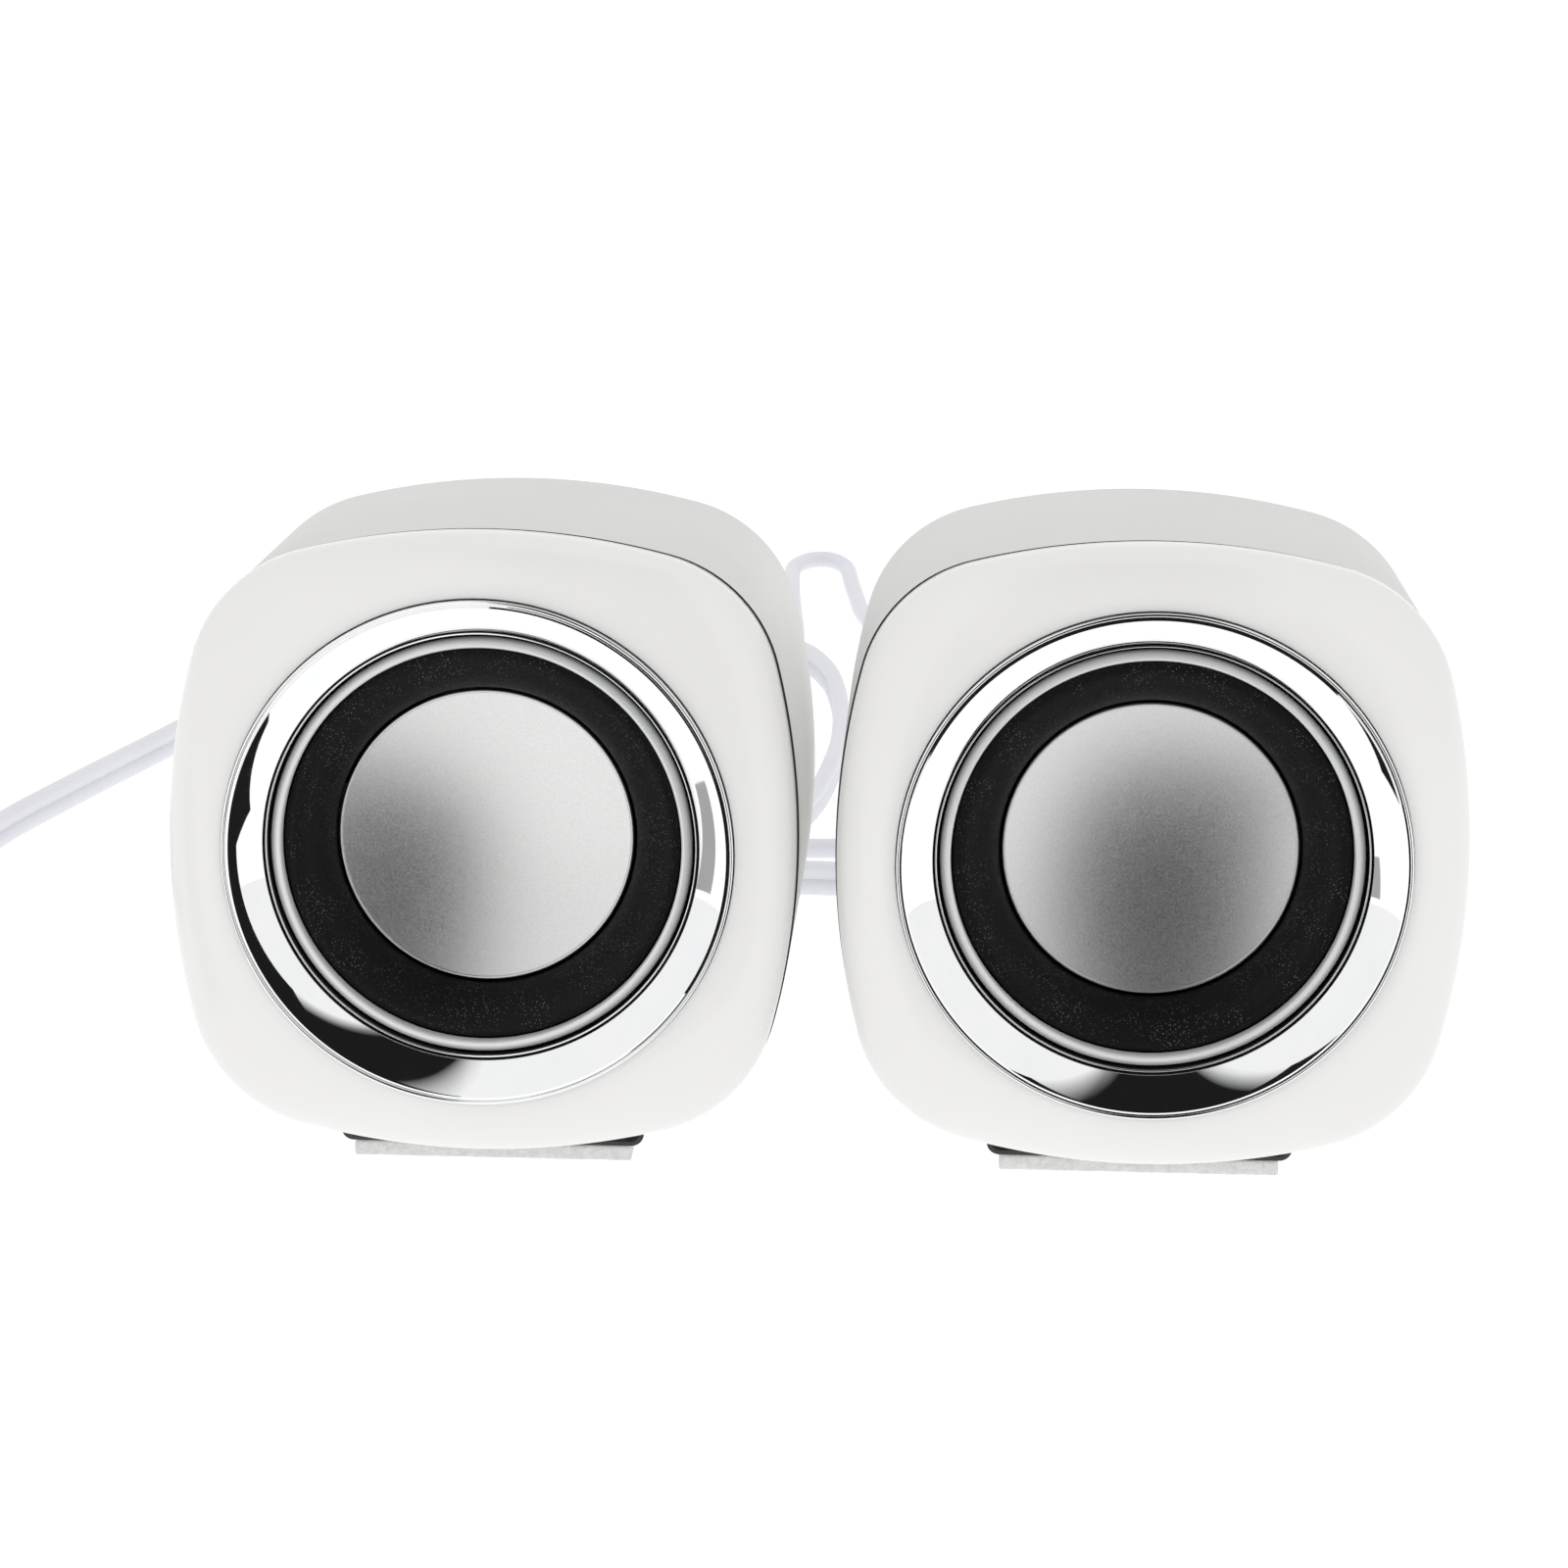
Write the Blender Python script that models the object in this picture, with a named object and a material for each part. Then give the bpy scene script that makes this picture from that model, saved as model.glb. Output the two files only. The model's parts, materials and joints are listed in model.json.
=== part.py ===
"""A pair of small cube desktop speakers, modelled as separate parts. Metres, +Z up, fronts facing -Y.

Each speaker is drawn in its own frame: x to the right, y into the body from the ring's front edge,
z up, with the ring's centre as origin. An empty leans that frame back and stands it at its place.
"""

import math

import bmesh
import bpy
from mathutils import Vector

MM = 0.001

# Driving dimensions in millimetres
HALF = 36.0  # half the width and height of the bezel
SIDE_RADIUS = 85.0  # the bulge of each side, seen from the front
CORNER_RADIUS = 17.0
DEPTH = 70.0  # ring front edge to the rear face
SEAM = 9.5  # where the bezel ends
SEAM_GAP = 0.45
REAR_ROUND = 10.0
REAR_WIDEN = 0.4  # the back is this much wider, and this much lower, than the front
WALL = 2.2
HOLE_RADIUS = 29.3
RING_RADIUS = 29.0
CAP_RADIUS = 17.1
CAP_EDGE = 11.8
CAP_DISH = 3.0
SCREW_CIRCLE = 33.0
LEAN_DEG = 5.0
CENTRE_HEIGHT = 42.2  # the ring's centre above the table
SPACING = 76.6  # between the two ring centres
FRONT_Y = -38.857  # the ring centres' place along Y, which centres the pair's own depth
PAD_SIZE = (33.0, 34.0, 1.8)
PLINTH_FRONT = 15.0
PLINTH_SIZE = (36.0, 35.0)
GAP = 0.3
TWIN_WIDTH = 5.0
LINK_WIDTH = 2.9
TAIL_WIDTH = 2.5
COIL_CENTRE = (-158.0, 110.0)
COIL_RADII = (22.8, 32.6)
SPLITTER_Y = (116.5, 103.0)
PLUG_Y = 56.0
PLUG_HEIGHT = 4.1
USB_X = -167.0
JACK_X = -149.0
KNOB_PLACE = (0.0, 8.0)
KNOB_HEIGHT = 9.0
SHAFT_RADIUS = 2.6
SHAFT_START = 60.0
SHAFT_END = 76.0
MAIN_EXIT = (-12.0, -20.0)
RIGHT_LINK_EXIT = (10.0, -20.0)
LEFT_LINK_EXIT = (0.0, -20.0)
GROMMET_END = 82.0
REAR_SCREWS = ((19.0, 19.0), (-19.0, -19.0))
SQUARE_POINTS = 40
ROUND_POINTS = 36
LEAN = math.radians(LEAN_DEG)


def material(name, colour, roughness, metallic=0.0):
    """A plain Principled BSDF."""
    made = bpy.data.materials.new(name)
    made.use_nodes = True
    shader = made.node_tree.nodes["Principled BSDF"]
    shader.inputs["Base Color"].default_value = (*colour, 1.0)
    shader.inputs["Roughness"].default_value = roughness
    shader.inputs["Metallic"].default_value = metallic
    return made


def add_object(name, mesh, finish, parent=None, place=(0, 0, 0)):
    """Puts a mesh in the scene under a parent, at a place in millimetres."""
    made = bpy.data.objects.new(name, mesh)
    bpy.context.scene.collection.objects.link(made)
    mesh.materials.append(finish)
    made.parent = parent
    made.location = Vector(place) * MM
    mesh.shade_smooth()
    mesh.set_sharp_from_angle(angle=math.radians(35))
    return made


def guide(made):
    """Marks a cutter, which the build leaves out."""
    made.hide_render = True
    made.display_type = "WIRE"
    return made


def combine(target, other, operation):
    """Adds an exact Boolean of the other object, which becomes a guide."""
    step = target.modifiers.new(other.name, "BOOLEAN")
    step.operation = operation
    step.solver = "EXACT"
    step.object = guide(other)


def finished_mesh(name, work):
    """A mesh from a bmesh in millimetres, with its faces turned outward."""
    bmesh.ops.recalc_face_normals(work, faces=work.faces)
    bmesh.ops.scale(work, vec=Vector((MM, MM, MM)), verts=work.verts)
    mesh = bpy.data.meshes.new(name)
    work.to_mesh(mesh)
    work.free()
    return mesh


def join_rows(work, first, second):
    """Quads between two rings of vertices."""
    count = len(first)
    for k in range(count):
        after = (k + 1) % count
        work.faces.new((first[k], first[after], second[after], second[k]))


def lofted(name, rings, closed):
    """Joins rings of points. Closed joins the last to the first, otherwise both ends are capped."""
    work = bmesh.new()
    rows = [[work.verts.new(point) for point in ring] for ring in rings]
    pairs = list(zip(rows, rows[1:]))
    if closed:
        pairs.append((rows[-1], rows[0]))
    for first, second in pairs:
        join_rows(work, first, second)
    if not closed:
        work.faces.new(rows[0])
        work.faces.new(rows[-1])
    return finished_mesh(name, work)


def turned(name, profile, count=ROUND_POINTS):
    """A profile of (radius, y) points turned about the y axis. It may start and end on the axis."""
    on_axis = profile[0][0] == 0.0
    inner = profile[1:-1] if on_axis else profile
    work = bmesh.new()
    turns = [math.tau * k / count for k in range(count)]
    rows = [[work.verts.new((r * math.cos(a), y, r * math.sin(a))) for a in turns] for r, y in inner]
    pairs = list(zip(rows, rows[1:]))
    if not on_axis:
        pairs.append((rows[-1], rows[0]))
    for first, second in pairs:
        join_rows(work, first, second)
    if on_axis:
        for row, (_, y) in ((rows[0], profile[0]), (rows[-1], profile[-1])):
            tip = work.verts.new((0.0, y, 0.0))
            for k in range(count):
                work.faces.new((row[k], row[(k + 1) % count], tip))
    return finished_mesh(name, work)


def block(name, low, high):
    """An upright box between two corners."""
    work = bmesh.new()
    bmesh.ops.create_cube(work, size=1.0)
    size = Vector(high) - Vector(low)
    bmesh.ops.scale(work, vec=size, verts=work.verts)
    bmesh.ops.translate(work, vec=(Vector(high) + Vector(low)) / 2, verts=work.verts)
    return finished_mesh(name, work)


def rod(name, radius, start, end, count=16):
    """A plain cylinder along y."""
    return turned(name, [(0.0, start), (radius, start), (radius, end), (0.0, end)], count)


def corner_offset():
    """How far along each axis the corner arc's centre lies, so that it meets the side arcs smoothly."""
    side = HALF - SIDE_RADIUS
    reach = SIDE_RADIUS - CORNER_RADIUS
    return (side + math.sqrt(2 * reach**2 - side**2)) / 2


def square_radius(angle, inset=0.0):
    """The distance from the centre to the bulged square's edge in one direction."""
    angle = abs((angle + math.pi / 4) % (math.pi / 2) - math.pi / 4)
    centre = corner_offset()
    side = HALF - SIDE_RADIUS
    meets = math.atan2(centre, centre - side)
    reach = SIDE_RADIUS - inset
    edge = math.atan2(reach * math.sin(meets), side + reach * math.cos(meets))
    if angle <= edge:
        along = side * math.cos(angle)
        return along + math.sqrt(reach**2 - side**2 + along**2)
    reach = CORNER_RADIUS - inset
    along = centre * (math.cos(angle) + math.sin(angle))
    return along + math.sqrt(reach**2 - 2 * centre**2 + along**2)


def outline(y, inset=0.0, square=1.0, radius=HOLE_RADIUS, widen=0.0):
    """A ring of points at one depth: a circle at square 0, and the bulged square at square 1."""
    points = []
    for k in range(SQUARE_POINTS):
        angle = math.tau * (k + 0.5) / SQUARE_POINTS
        reach = radius
        if square > 0.0:
            reach = radius * (1 - square) + square_radius(angle, inset) * square
        wide = 1 + widen / HALF
        low = 1 - widen / HALF
        points.append((reach * math.cos(angle) * wide, y, reach * math.sin(angle) * low))
    return points


def bezel_rings():
    """The bezel's section: dome, seam edge, tongue, inner dome and the collar round the hole."""
    edge_y, full_y = 1.0, 7.0
    rings = []
    for step in range(6):
        turn = math.radians(90 * step / 5)
        depth = full_y - (full_y - edge_y) * math.cos(turn)
        rings.append(outline(depth, square=math.sin(turn)))
    rings += [outline(SEAM), outline(SEAM, inset=1.5), outline(SEAM + 2, inset=1.5)]
    rings += [outline(SEAM + 2, inset=2.8), outline(7.5, inset=2.8)]
    rings += [outline(4.4, inset=2.8, square=0.75, radius=31.0)]
    rings += [outline(3.2, inset=2.8, square=0.2, radius=31.0)]
    rings += [outline(3.4, square=0.0, radius=31.0), outline(8.0, square=0.0, radius=31.0)]
    rings += [outline(8.0, square=0.0)]
    return rings


def front_bezel(side, frame, finish):
    """The glossy domed front, with a boss for each driver screw."""
    made = add_object(f"{side}_front_bezel", lofted("bezel", bezel_rings(), True), finish, frame)
    for index, (x, z) in enumerate(screw_places()):
        boss = rod("boss", 2.6, 2.7, 9.4, 12)
        combine(made, add_object(f"{side}_boss_{index}", boss, finish, frame, (x, 0, z)), "UNION")
        pilot = rod("pilot", 1.4, 6.0, 12.0, 8)
        combine(made, add_object(f"{side}_pilot_{index}", pilot, finish, frame, (x, 0, z)), "DIFFERENCE")


def screw_places():
    """The four driver screws, on the diagonals."""
    reach = SCREW_CIRCLE * math.sqrt(0.5)
    return [(x * reach, z * reach) for x, z in ((1, 1), (-1, 1), (-1, -1), (1, -1))]


def cabinet_rings():
    """The outer skin from seam to back, then the inner skin from back to seam."""
    start, flat = SEAM + SEAM_GAP, DEPTH - REAR_ROUND
    rings = [outline(start), outline(flat, widen=REAR_WIDEN)]
    for turn in (30, 60, 90):
        back = flat + REAR_ROUND * math.sin(math.radians(turn))
        inset = REAR_ROUND * (1 - math.cos(math.radians(turn)))
        rings.append(outline(back, inset=inset, widen=REAR_WIDEN))
    round_in = REAR_ROUND - WALL
    inner = []
    for turn in (0, 45, 90):
        back = flat + round_in * math.sin(math.radians(turn))
        inset = WALL + round_in * (1 - math.cos(math.radians(turn)))
        inner.append(outline(back, inset=inset, widen=REAR_WIDEN))
    rings += reversed(inner)
    rings += [outline(SEAM + 2.4, inset=WALL), outline(SEAM + 2.4, inset=1.2), outline(start, inset=1.2)]
    return rings


def cabinet_mesh():
    """The cabinet as one closed cup: the rear face and the inside of the rear wall are its two caps."""
    rings = cabinet_rings()
    outer, inner = rings[:5], rings[5:]
    work = bmesh.new()
    rows = [[work.verts.new(point) for point in ring] for ring in outer + inner]
    for index in list(range(4)) + list(range(5, len(rows) - 1)):
        join_rows(work, rows[index], rows[index + 1])
    join_rows(work, rows[-1], rows[0])
    work.faces.new(rows[4])
    work.faces.new(rows[5])
    return finished_mesh("cabinet", work)


def to_frame(y, z):
    """A depth and height over the table, as a depth and height in a speaker's leaning frame."""
    height = z - CENTRE_HEIGHT
    return (
        y * math.cos(LEAN) - height * math.sin(LEAN),
        y * math.sin(LEAN) + height * math.cos(LEAN),
    )


def plinth_mesh():
    """The wedge under the cabinet, with rounded lower edges. Its underside is level with the table."""
    half, length = PLINTH_SIZE[0] / 2, PLINTH_SIZE[1]
    under = PAD_SIZE[2] + GAP
    lower = []
    for turn in (0, 30, 60, 90):
        angle = math.radians(turn)
        lower.append((half - 1.5 + 1.5 * math.cos(angle), under + 1.5 - 1.5 * math.sin(angle)))
    lower += [(-x, z) for x, z in reversed(lower)]
    rings = []
    for y in (PLINTH_FRONT, PLINTH_FRONT + length):
        ring = [(x, *to_frame(y, z)) for x, z in lower]
        depth = to_frame(y, under)[0]
        ring += [(-half, depth, -33.2), (half, depth, -33.2)]
        rings.append(ring)
    return lofted("plinth", rings, False)


def plinth_recess_mesh():
    """The shallow recess in the plinth's front face."""
    half = PLINTH_SIZE[0] / 2 - 0.6
    under = PAD_SIZE[2] + GAP + 0.6
    rings = []
    for y in (PLINTH_FRONT - 2.0, PLINTH_FRONT + 1.2):
        depth, height = to_frame(y, under)
        ends = ((-half, height), (half, height), (half, -36.2), (-half, -36.2))
        rings.append([(x, depth, z) for x, z in ends])
    return lofted("recess", rings, False)


def rear_cabinet(side, frame, finish, exits):
    """The matte shell with its plinth and the holes in its back."""
    made = add_object(f"{side}_rear_cabinet", cabinet_mesh(), finish, frame)
    combine(made, add_object(f"{side}_plinth", plinth_mesh(), finish, frame), "UNION")
    combine(made, add_object(f"{side}_recess", plinth_recess_mesh(), finish, frame), "DIFFERENCE")
    for index, (x, z) in enumerate(exits):
        hole = rod("exit_hole", 3.0, DEPTH - 5, DEPTH + 1, 16)
        combine(made, add_object(f"{side}_hole_{index}", hole, finish, frame, (x, 0, z)), "DIFFERENCE")
    for index, (x, z) in enumerate(REAR_SCREWS):
        seat = [(0.0, DEPTH - 5), (1.6, DEPTH - 5), (1.6, DEPTH - 1), (3.0, DEPTH - 1)]
        seat += [(3.0, DEPTH + 1), (0.0, DEPTH + 1)]
        cutter = add_object(f"{side}_seat_{index}", turned("seat", seat, 16), finish, frame, (x, 0, z))
        combine(made, cutter, "DIFFERENCE")


def chrome_ring_mesh():
    """The bright funnel that lines the hole in the bezel."""
    profile = [(RING_RADIUS, 0.35), (28.6, 0.0), (27.0, 0.9), (25.7, 2.9), (25.05, 5.3), (26.0, 5.3)]
    profile += [(28.2, 2.2), (28.2, 7.6), (RING_RADIUS, 7.6)]
    return turned("chrome_ring", profile)


def trim_ring_mesh():
    """The satin ring that holds the surround."""
    return turned("trim_ring", [(24.2, 4.9), (22.95, 5.0), (22.95, 6.9), (24.2, 6.9)])


def surround_mesh():
    """The black half roll between the trim ring and the cap, with the gasket at its outer edge."""
    middle, half_width, thick = 20.15, 2.75, 0.55
    foot, drop, rise = 7.6, 4.3, 2.6
    outer, inner = [], []
    for step in range(7):
        turn = math.pi * step / 6
        base = foot + drop * (1 - math.cos(turn)) / 2
        outer.append((middle + half_width * math.cos(turn), base - rise * math.sin(turn)))
        reach = half_width - thick
        inner.append((middle + reach * math.cos(turn), base + thick - (rise - 0.1) * math.sin(turn)))
    profile = [(25.6, 7.3), (23.2, 7.3), *outer, *reversed(inner), (24.4, 8.4), (24.4, 9.5), (25.6, 9.5)]
    return turned("surround", profile, 32)


def cap_mesh():
    """The satin dish over the cone, with a small rolled rim."""
    rows = (1.0, 0.7, 0.35)
    front = [(CAP_RADIUS * 0.975 * s, CAP_EDGE + CAP_DISH * (1 - s**2)) for s in rows]
    back = [(r, y + 0.5) for r, y in front]
    profile = [(0.0, CAP_EDGE + CAP_DISH), *reversed(front), (CAP_RADIUS - 0.2, CAP_EDGE - 0.25)]
    profile += [(CAP_RADIUS, CAP_EDGE), (CAP_RADIUS, CAP_EDGE + 0.5), *back]
    profile += [(0.0, CAP_EDGE + CAP_DISH + 0.5)]
    return turned("cap", profile, 32)


def driver_meshes():
    """The parts behind the cap, as (name, mesh, finish name) rows."""
    flange = [(30.4, 9.8), (22.8, 9.8), (21.9, 11.6), (16.0, 21.9), (8.6, 21.9), (8.6, 23.0), (16.8, 23.0)]
    flange += [(22.7, 12.0), (23.6, 10.8), (30.4, 10.8)]
    yoke = [(0.0, 22.6), (5.8, 22.6), (5.8, 33.3), (14.0, 33.3), (14.0, 35.5), (0.0, 35.5)]
    spider = [(7.2, 21.0)]
    for step in range(1, 5):
        spider.append((7.2 + 1.8 * step, 21.0 - 0.35 * (step % 2)))
    spider += [(r, y + 0.4) for r, y in reversed(spider)]
    return [
        ("cone", turned("cone", [(16.9, 12.7), (7.2, 18.9), (7.2, 19.5), (16.9, 13.3)], 32), "paper"),
        ("surround", surround_mesh(), "rubber"),
        ("voice_coil", turned("coil", [(6.3, 17.4), (6.8, 17.4), (6.8, 28.0), (6.3, 28.0)], 24), "copper"),
        ("spider", turned("spider", spider, 24), "cloth"),
        ("basket", turned("basket", flange, 32), "steel"),
        ("top_plate", turned("plate", [(14.0, 23.3), (7.4, 23.3), (7.4, 26.0), (14.0, 26.0)], 28), "steel"),
        ("magnet", turned("magnet", [(15.5, 26.3), (9.0, 26.3), (9.0, 33.0), (15.5, 33.0)], 28), "ferrite"),
        ("yoke", turned("yoke", yoke, 28), "steel"),
    ]


def basket_details(side, basket, frame, finish):
    """Four ears with screw holes, and four windows in the wall."""
    for index in range(2):
        bar = block("ears", (-3.2, 9.8, -36.4), (3.2, 10.8, 36.4))
        guide_bar = add_object(f"{side}_ears_{index}", bar, finish, frame)
        guide_bar.rotation_euler.y = math.radians(45 + 90 * index)
        combine(basket, guide_bar, "UNION")
    for index in range(2):
        window = block("window", (-4.5, 13.5, -30.0), (4.5, 19.5, 30.0))
        cutter = add_object(f"{side}_window_{index}", window, finish, frame)
        cutter.rotation_euler.y = math.radians(90 * index)
        combine(basket, cutter, "DIFFERENCE")
    bore = turned("bore", [(0.0, 9.0), (22.8, 9.0), (22.8, 9.8), (21.9, 11.6), (0.0, 11.6)], 32)
    combine(basket, add_object(f"{side}_bore", bore, finish, frame), "DIFFERENCE")
    for index, (x, z) in enumerate(screw_places()):
        drill = rod("ear_hole", 1.6, 9.0, 11.5, 8)
        hole = add_object(f"{side}_ear_hole_{index}", drill, finish, frame, (x, 0, z))
        combine(basket, hole, "DIFFERENCE")


def screw_mesh(head, head_y, head_height, shank, tip_y):
    """A pan head screw that points to -y."""
    top = head_y + head_height
    profile = [(0.0, tip_y), (shank, tip_y), (shank, head_y), (head, head_y), (head, top - 0.3)]
    profile += [(head - 0.4, top), (0.0, top)]
    return turned("screw", profile, 12)


def terminal_strip_mesh():
    """The small board that the driver's leads are soldered to."""
    return block("terminal", (-5.0, 11.2, -29.2), (5.0, 12.2, -23.8))


def grommet_mesh(lead_width, long_end):
    """A strain relief that fills its hole and tapers towards the lead."""
    tip = lead_width / 2 + 0.5
    profile = [(0.0, DEPTH - WALL - 1.6), (3.6, DEPTH - WALL - 1.6), (3.6, DEPTH - WALL - GAP)]
    profile += [(2.7, DEPTH - WALL - GAP), (2.7, DEPTH + GAP), (3.9, DEPTH + GAP), (3.9, DEPTH + 1.6)]
    profile += [(3.2, DEPTH + 2.0), (tip, long_end), (0.0, long_end)]
    return turned("grommet", profile, 16)


def speaker_frame(side, sign):
    """The empty that leans a speaker's parts back and stands them in their place."""
    frame = bpy.data.objects.new(f"{side}_frame", None)
    bpy.context.scene.collection.objects.link(frame)
    frame.location = Vector((sign * SPACING / 2, FRONT_Y, CENTRE_HEIGHT)) * MM
    frame.rotation_euler = (-LEAN, 0.0, 0.0)
    return frame


def build_speaker(side, sign, finishes, exits):
    """Everything that both speakers have."""
    frame = speaker_frame(side, sign)
    front_bezel(side, frame, finishes["gloss_white"])
    rear_cabinet(side, frame, finishes["matte_white"], exits)
    add_object(f"{side}_chrome_ring", chrome_ring_mesh(), finishes["chrome"], frame)
    add_object(f"{side}_trim_ring", trim_ring_mesh(), finishes["satin"], frame)
    add_object(f"{side}_dust_cap", cap_mesh(), finishes["satin"], frame)
    for name, mesh, finish in driver_meshes():
        made = add_object(f"{side}_{name}", mesh, finishes[finish], frame)
        if name == "basket":
            basket_details(side, made, frame, finishes["steel"])
    add_object(f"{side}_terminal_strip", terminal_strip_mesh(), finishes["board"], frame)
    for index, (x, z) in enumerate(screw_places(), 1):
        mesh = screw_mesh(2.4, 11.1, 1.4, 1.0, 6.6)
        add_object(f"{side}_driver_screw_{index}", mesh, finishes["steel"], frame, (x, 0, z))
    for index, (x, z) in enumerate(REAR_SCREWS, 1):
        mesh = screw_mesh(2.6, DEPTH - 0.7, 1.2, 1.2, DEPTH - 9)
        add_object(f"{side}_rear_screw_{index}", mesh, finishes["steel"], frame, (x, 0, z))
    wide, long, thick = PAD_SIZE
    middle = Vector((sign * SPACING / 2, FRONT_Y + PLINTH_FRONT + GAP, 0.0))
    pad = block("pad", (-wide / 2, 0.0, 0.0), (wide / 2, long, thick))
    add_object(f"{side}_foam_pad", pad, finishes["foam"], None, middle)
    return frame


def build_master_parts(frame, finishes):
    """The amplifier, the volume control and the exits of the right speaker, which drives both."""
    board = block("board", (-20.0, 40.0, -27.0), (20.0, 62.0, -25.4))
    add_object("right_amp_board", board, finishes["board"], frame)
    can = turned("can", [(0.0, 0.0), (4.0, 0.0), (4.0, 11.0), (0.0, 11.0)], 24)
    stood = add_object("right_filter_capacitor", can, finishes["black_plastic"], frame, (-8.0, 50.0, -25.1))
    stood.rotation_euler.x = math.radians(90)
    x, z = KNOB_PLACE
    body = block("pot", (-5.0, 58.0, -5.0), (5.0, DEPTH - WALL - GAP, 5.0))
    made = add_object("right_potentiometer", body, finishes["steel"], frame, (x, 0, z))
    bore = rod("pot_bore", SHAFT_RADIUS + GAP, SHAFT_START - GAP, DEPTH, 20)
    combine(made, add_object("right_pot_bore", bore, finishes["steel"], frame, (x, 0, z)), "DIFFERENCE")
    shaft = rod("shaft", SHAFT_RADIUS, SHAFT_START, SHAFT_END, 20)
    add_object("right_control_shaft", shaft, finishes["steel"], frame, (x, 0, z))
    base, top, fit = DEPTH + GAP, DEPTH + KNOB_HEIGHT, SHAFT_RADIUS + GAP
    knob = [(0.0, SHAFT_END + GAP), (fit, SHAFT_END + GAP), (fit, base), (7.0, base), (7.0, base + 1.0)]
    knob += [(6.5, base + 1.4), (6.3, top - 0.8), (5.6, top), (0.0, top)]
    white = finishes["gloss_white"]
    turning = add_object("right_volume_knob", turned("knob", knob, 28), white, frame, (x, 0, z))
    mark = block("mark", (-0.5, top - 0.4, 2.5), (0.5, top + 1.0, 6.0))
    combine(turning, add_object("right_knob_mark", mark, white, frame, (x, 0, z)), "DIFFERENCE")


def add_grommet(name, frame, place, lead_width, finish):
    """One strain relief at its place in a rear wall."""
    add_object(name, grommet_mesh(lead_width, GROMMET_END), finish, frame, (place[0], 0, place[1]))


def exit_point(sign, place):
    """Where a lead starts, just past its grommet, in the table's frame, with y from the ring centres."""
    y = GROMMET_END + GAP
    z = place[1]
    return (
        sign * SPACING / 2 + place[0],
        y * math.cos(LEAN) + z * math.sin(LEAN),
        CENTRE_HEIGHT - y * math.sin(LEAN) + z * math.cos(LEAN),
    )


def smooth_route(points, spacing):
    """Evenly spaced points on a Catmull-Rom curve through the route's own points."""
    nodes = [Vector(p) for p in points]
    nodes = [2 * nodes[0] - nodes[1], *nodes, 2 * nodes[-1] - nodes[-2]]
    fine = []
    for a, b, c, d in zip(nodes, nodes[1:], nodes[2:], nodes[3:]):
        for step in range(24):
            t = step / 24
            square = (2 * a - 5 * b + 4 * c - d) * t**2
            cube = (3 * b - a - 3 * c + d) * t**3
            fine.append(0.5 * (2 * b + (c - a) * t + square + cube))
    fine.append(nodes[-2])
    total = sum((q - p).length for p, q in zip(fine, fine[1:]))
    count = max(2, round(total / spacing))
    return resampled(fine, total, count)


def resampled(fine, total, count):
    """Points at equal steps along a fine line of points."""
    kept, run, want = [fine[0]], 0.0, total / count
    for p, q in zip(fine, fine[1:]):
        span = (q - p).length
        while span > 0 and run + span >= want * len(kept) and len(kept) < count:
            kept.append(p.lerp(q, (want * len(kept) - run) / span))
        run += span
    return [*kept, fine[-1]]


def tube(name, points, width, finish, spacing):
    """A round tube along a route in millimetres, with y from the ring centres."""
    curve = bpy.data.curves.new(name, "CURVE")
    curve.dimensions = "3D"
    curve.bevel_depth = width / 2 * MM
    curve.bevel_resolution = 2
    curve.use_fill_caps = True
    route = smooth_route(points, spacing)
    line = curve.splines.new("POLY")
    line.points.add(len(route) - 1)
    for made, point in zip(line.points, route):
        made.co = (point.x * MM, (point.y + FRONT_Y) * MM, point.z * MM, 1.0)
    curve.materials.append(finish)
    made = bpy.data.objects.new(name, curve)
    bpy.context.scene.collection.objects.link(made)
    return made


MAIN_ROUTE = [
    (26.3, 88.5, 14.3), (26, 97, 11.4), (23.5, 107, 6.4), (18, 116, 3.3), (9, 121.5, 2.6),
    (-2, 123.2, 2.6), (-14, 123.2, 2.6), (-23.8, 127.3, 2.6), (-27.9, 137.1, 2.6), (-23.8, 146.9, 2.6),
    (-14.5, 151, 2.6), (-7.6, 154.6, 2.6), (-5, 163, 2.6), (-3.5, 175, 2.6), (-2.4, 190, 2.6),
    (-2.3, 205, 2.6), (-2.9, 218, 3.2), (-4.9, 229, 4.6), (-9, 237, 5.8), (-15.5, 241.5, 6.2),
    (-25, 244, 5.6), (-40, 247, 3.2), (-58, 248, 2.6), (-76, 241, 2.6), (-91, 225, 2.6),
    (-102, 203, 2.6), (-110, 180, 2.6), (-117, 159, 2.6), (-122.5, 141, 2.6), (-124.2, 130, 2.6),
    (-124.4, 122, 2.6),
]
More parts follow.
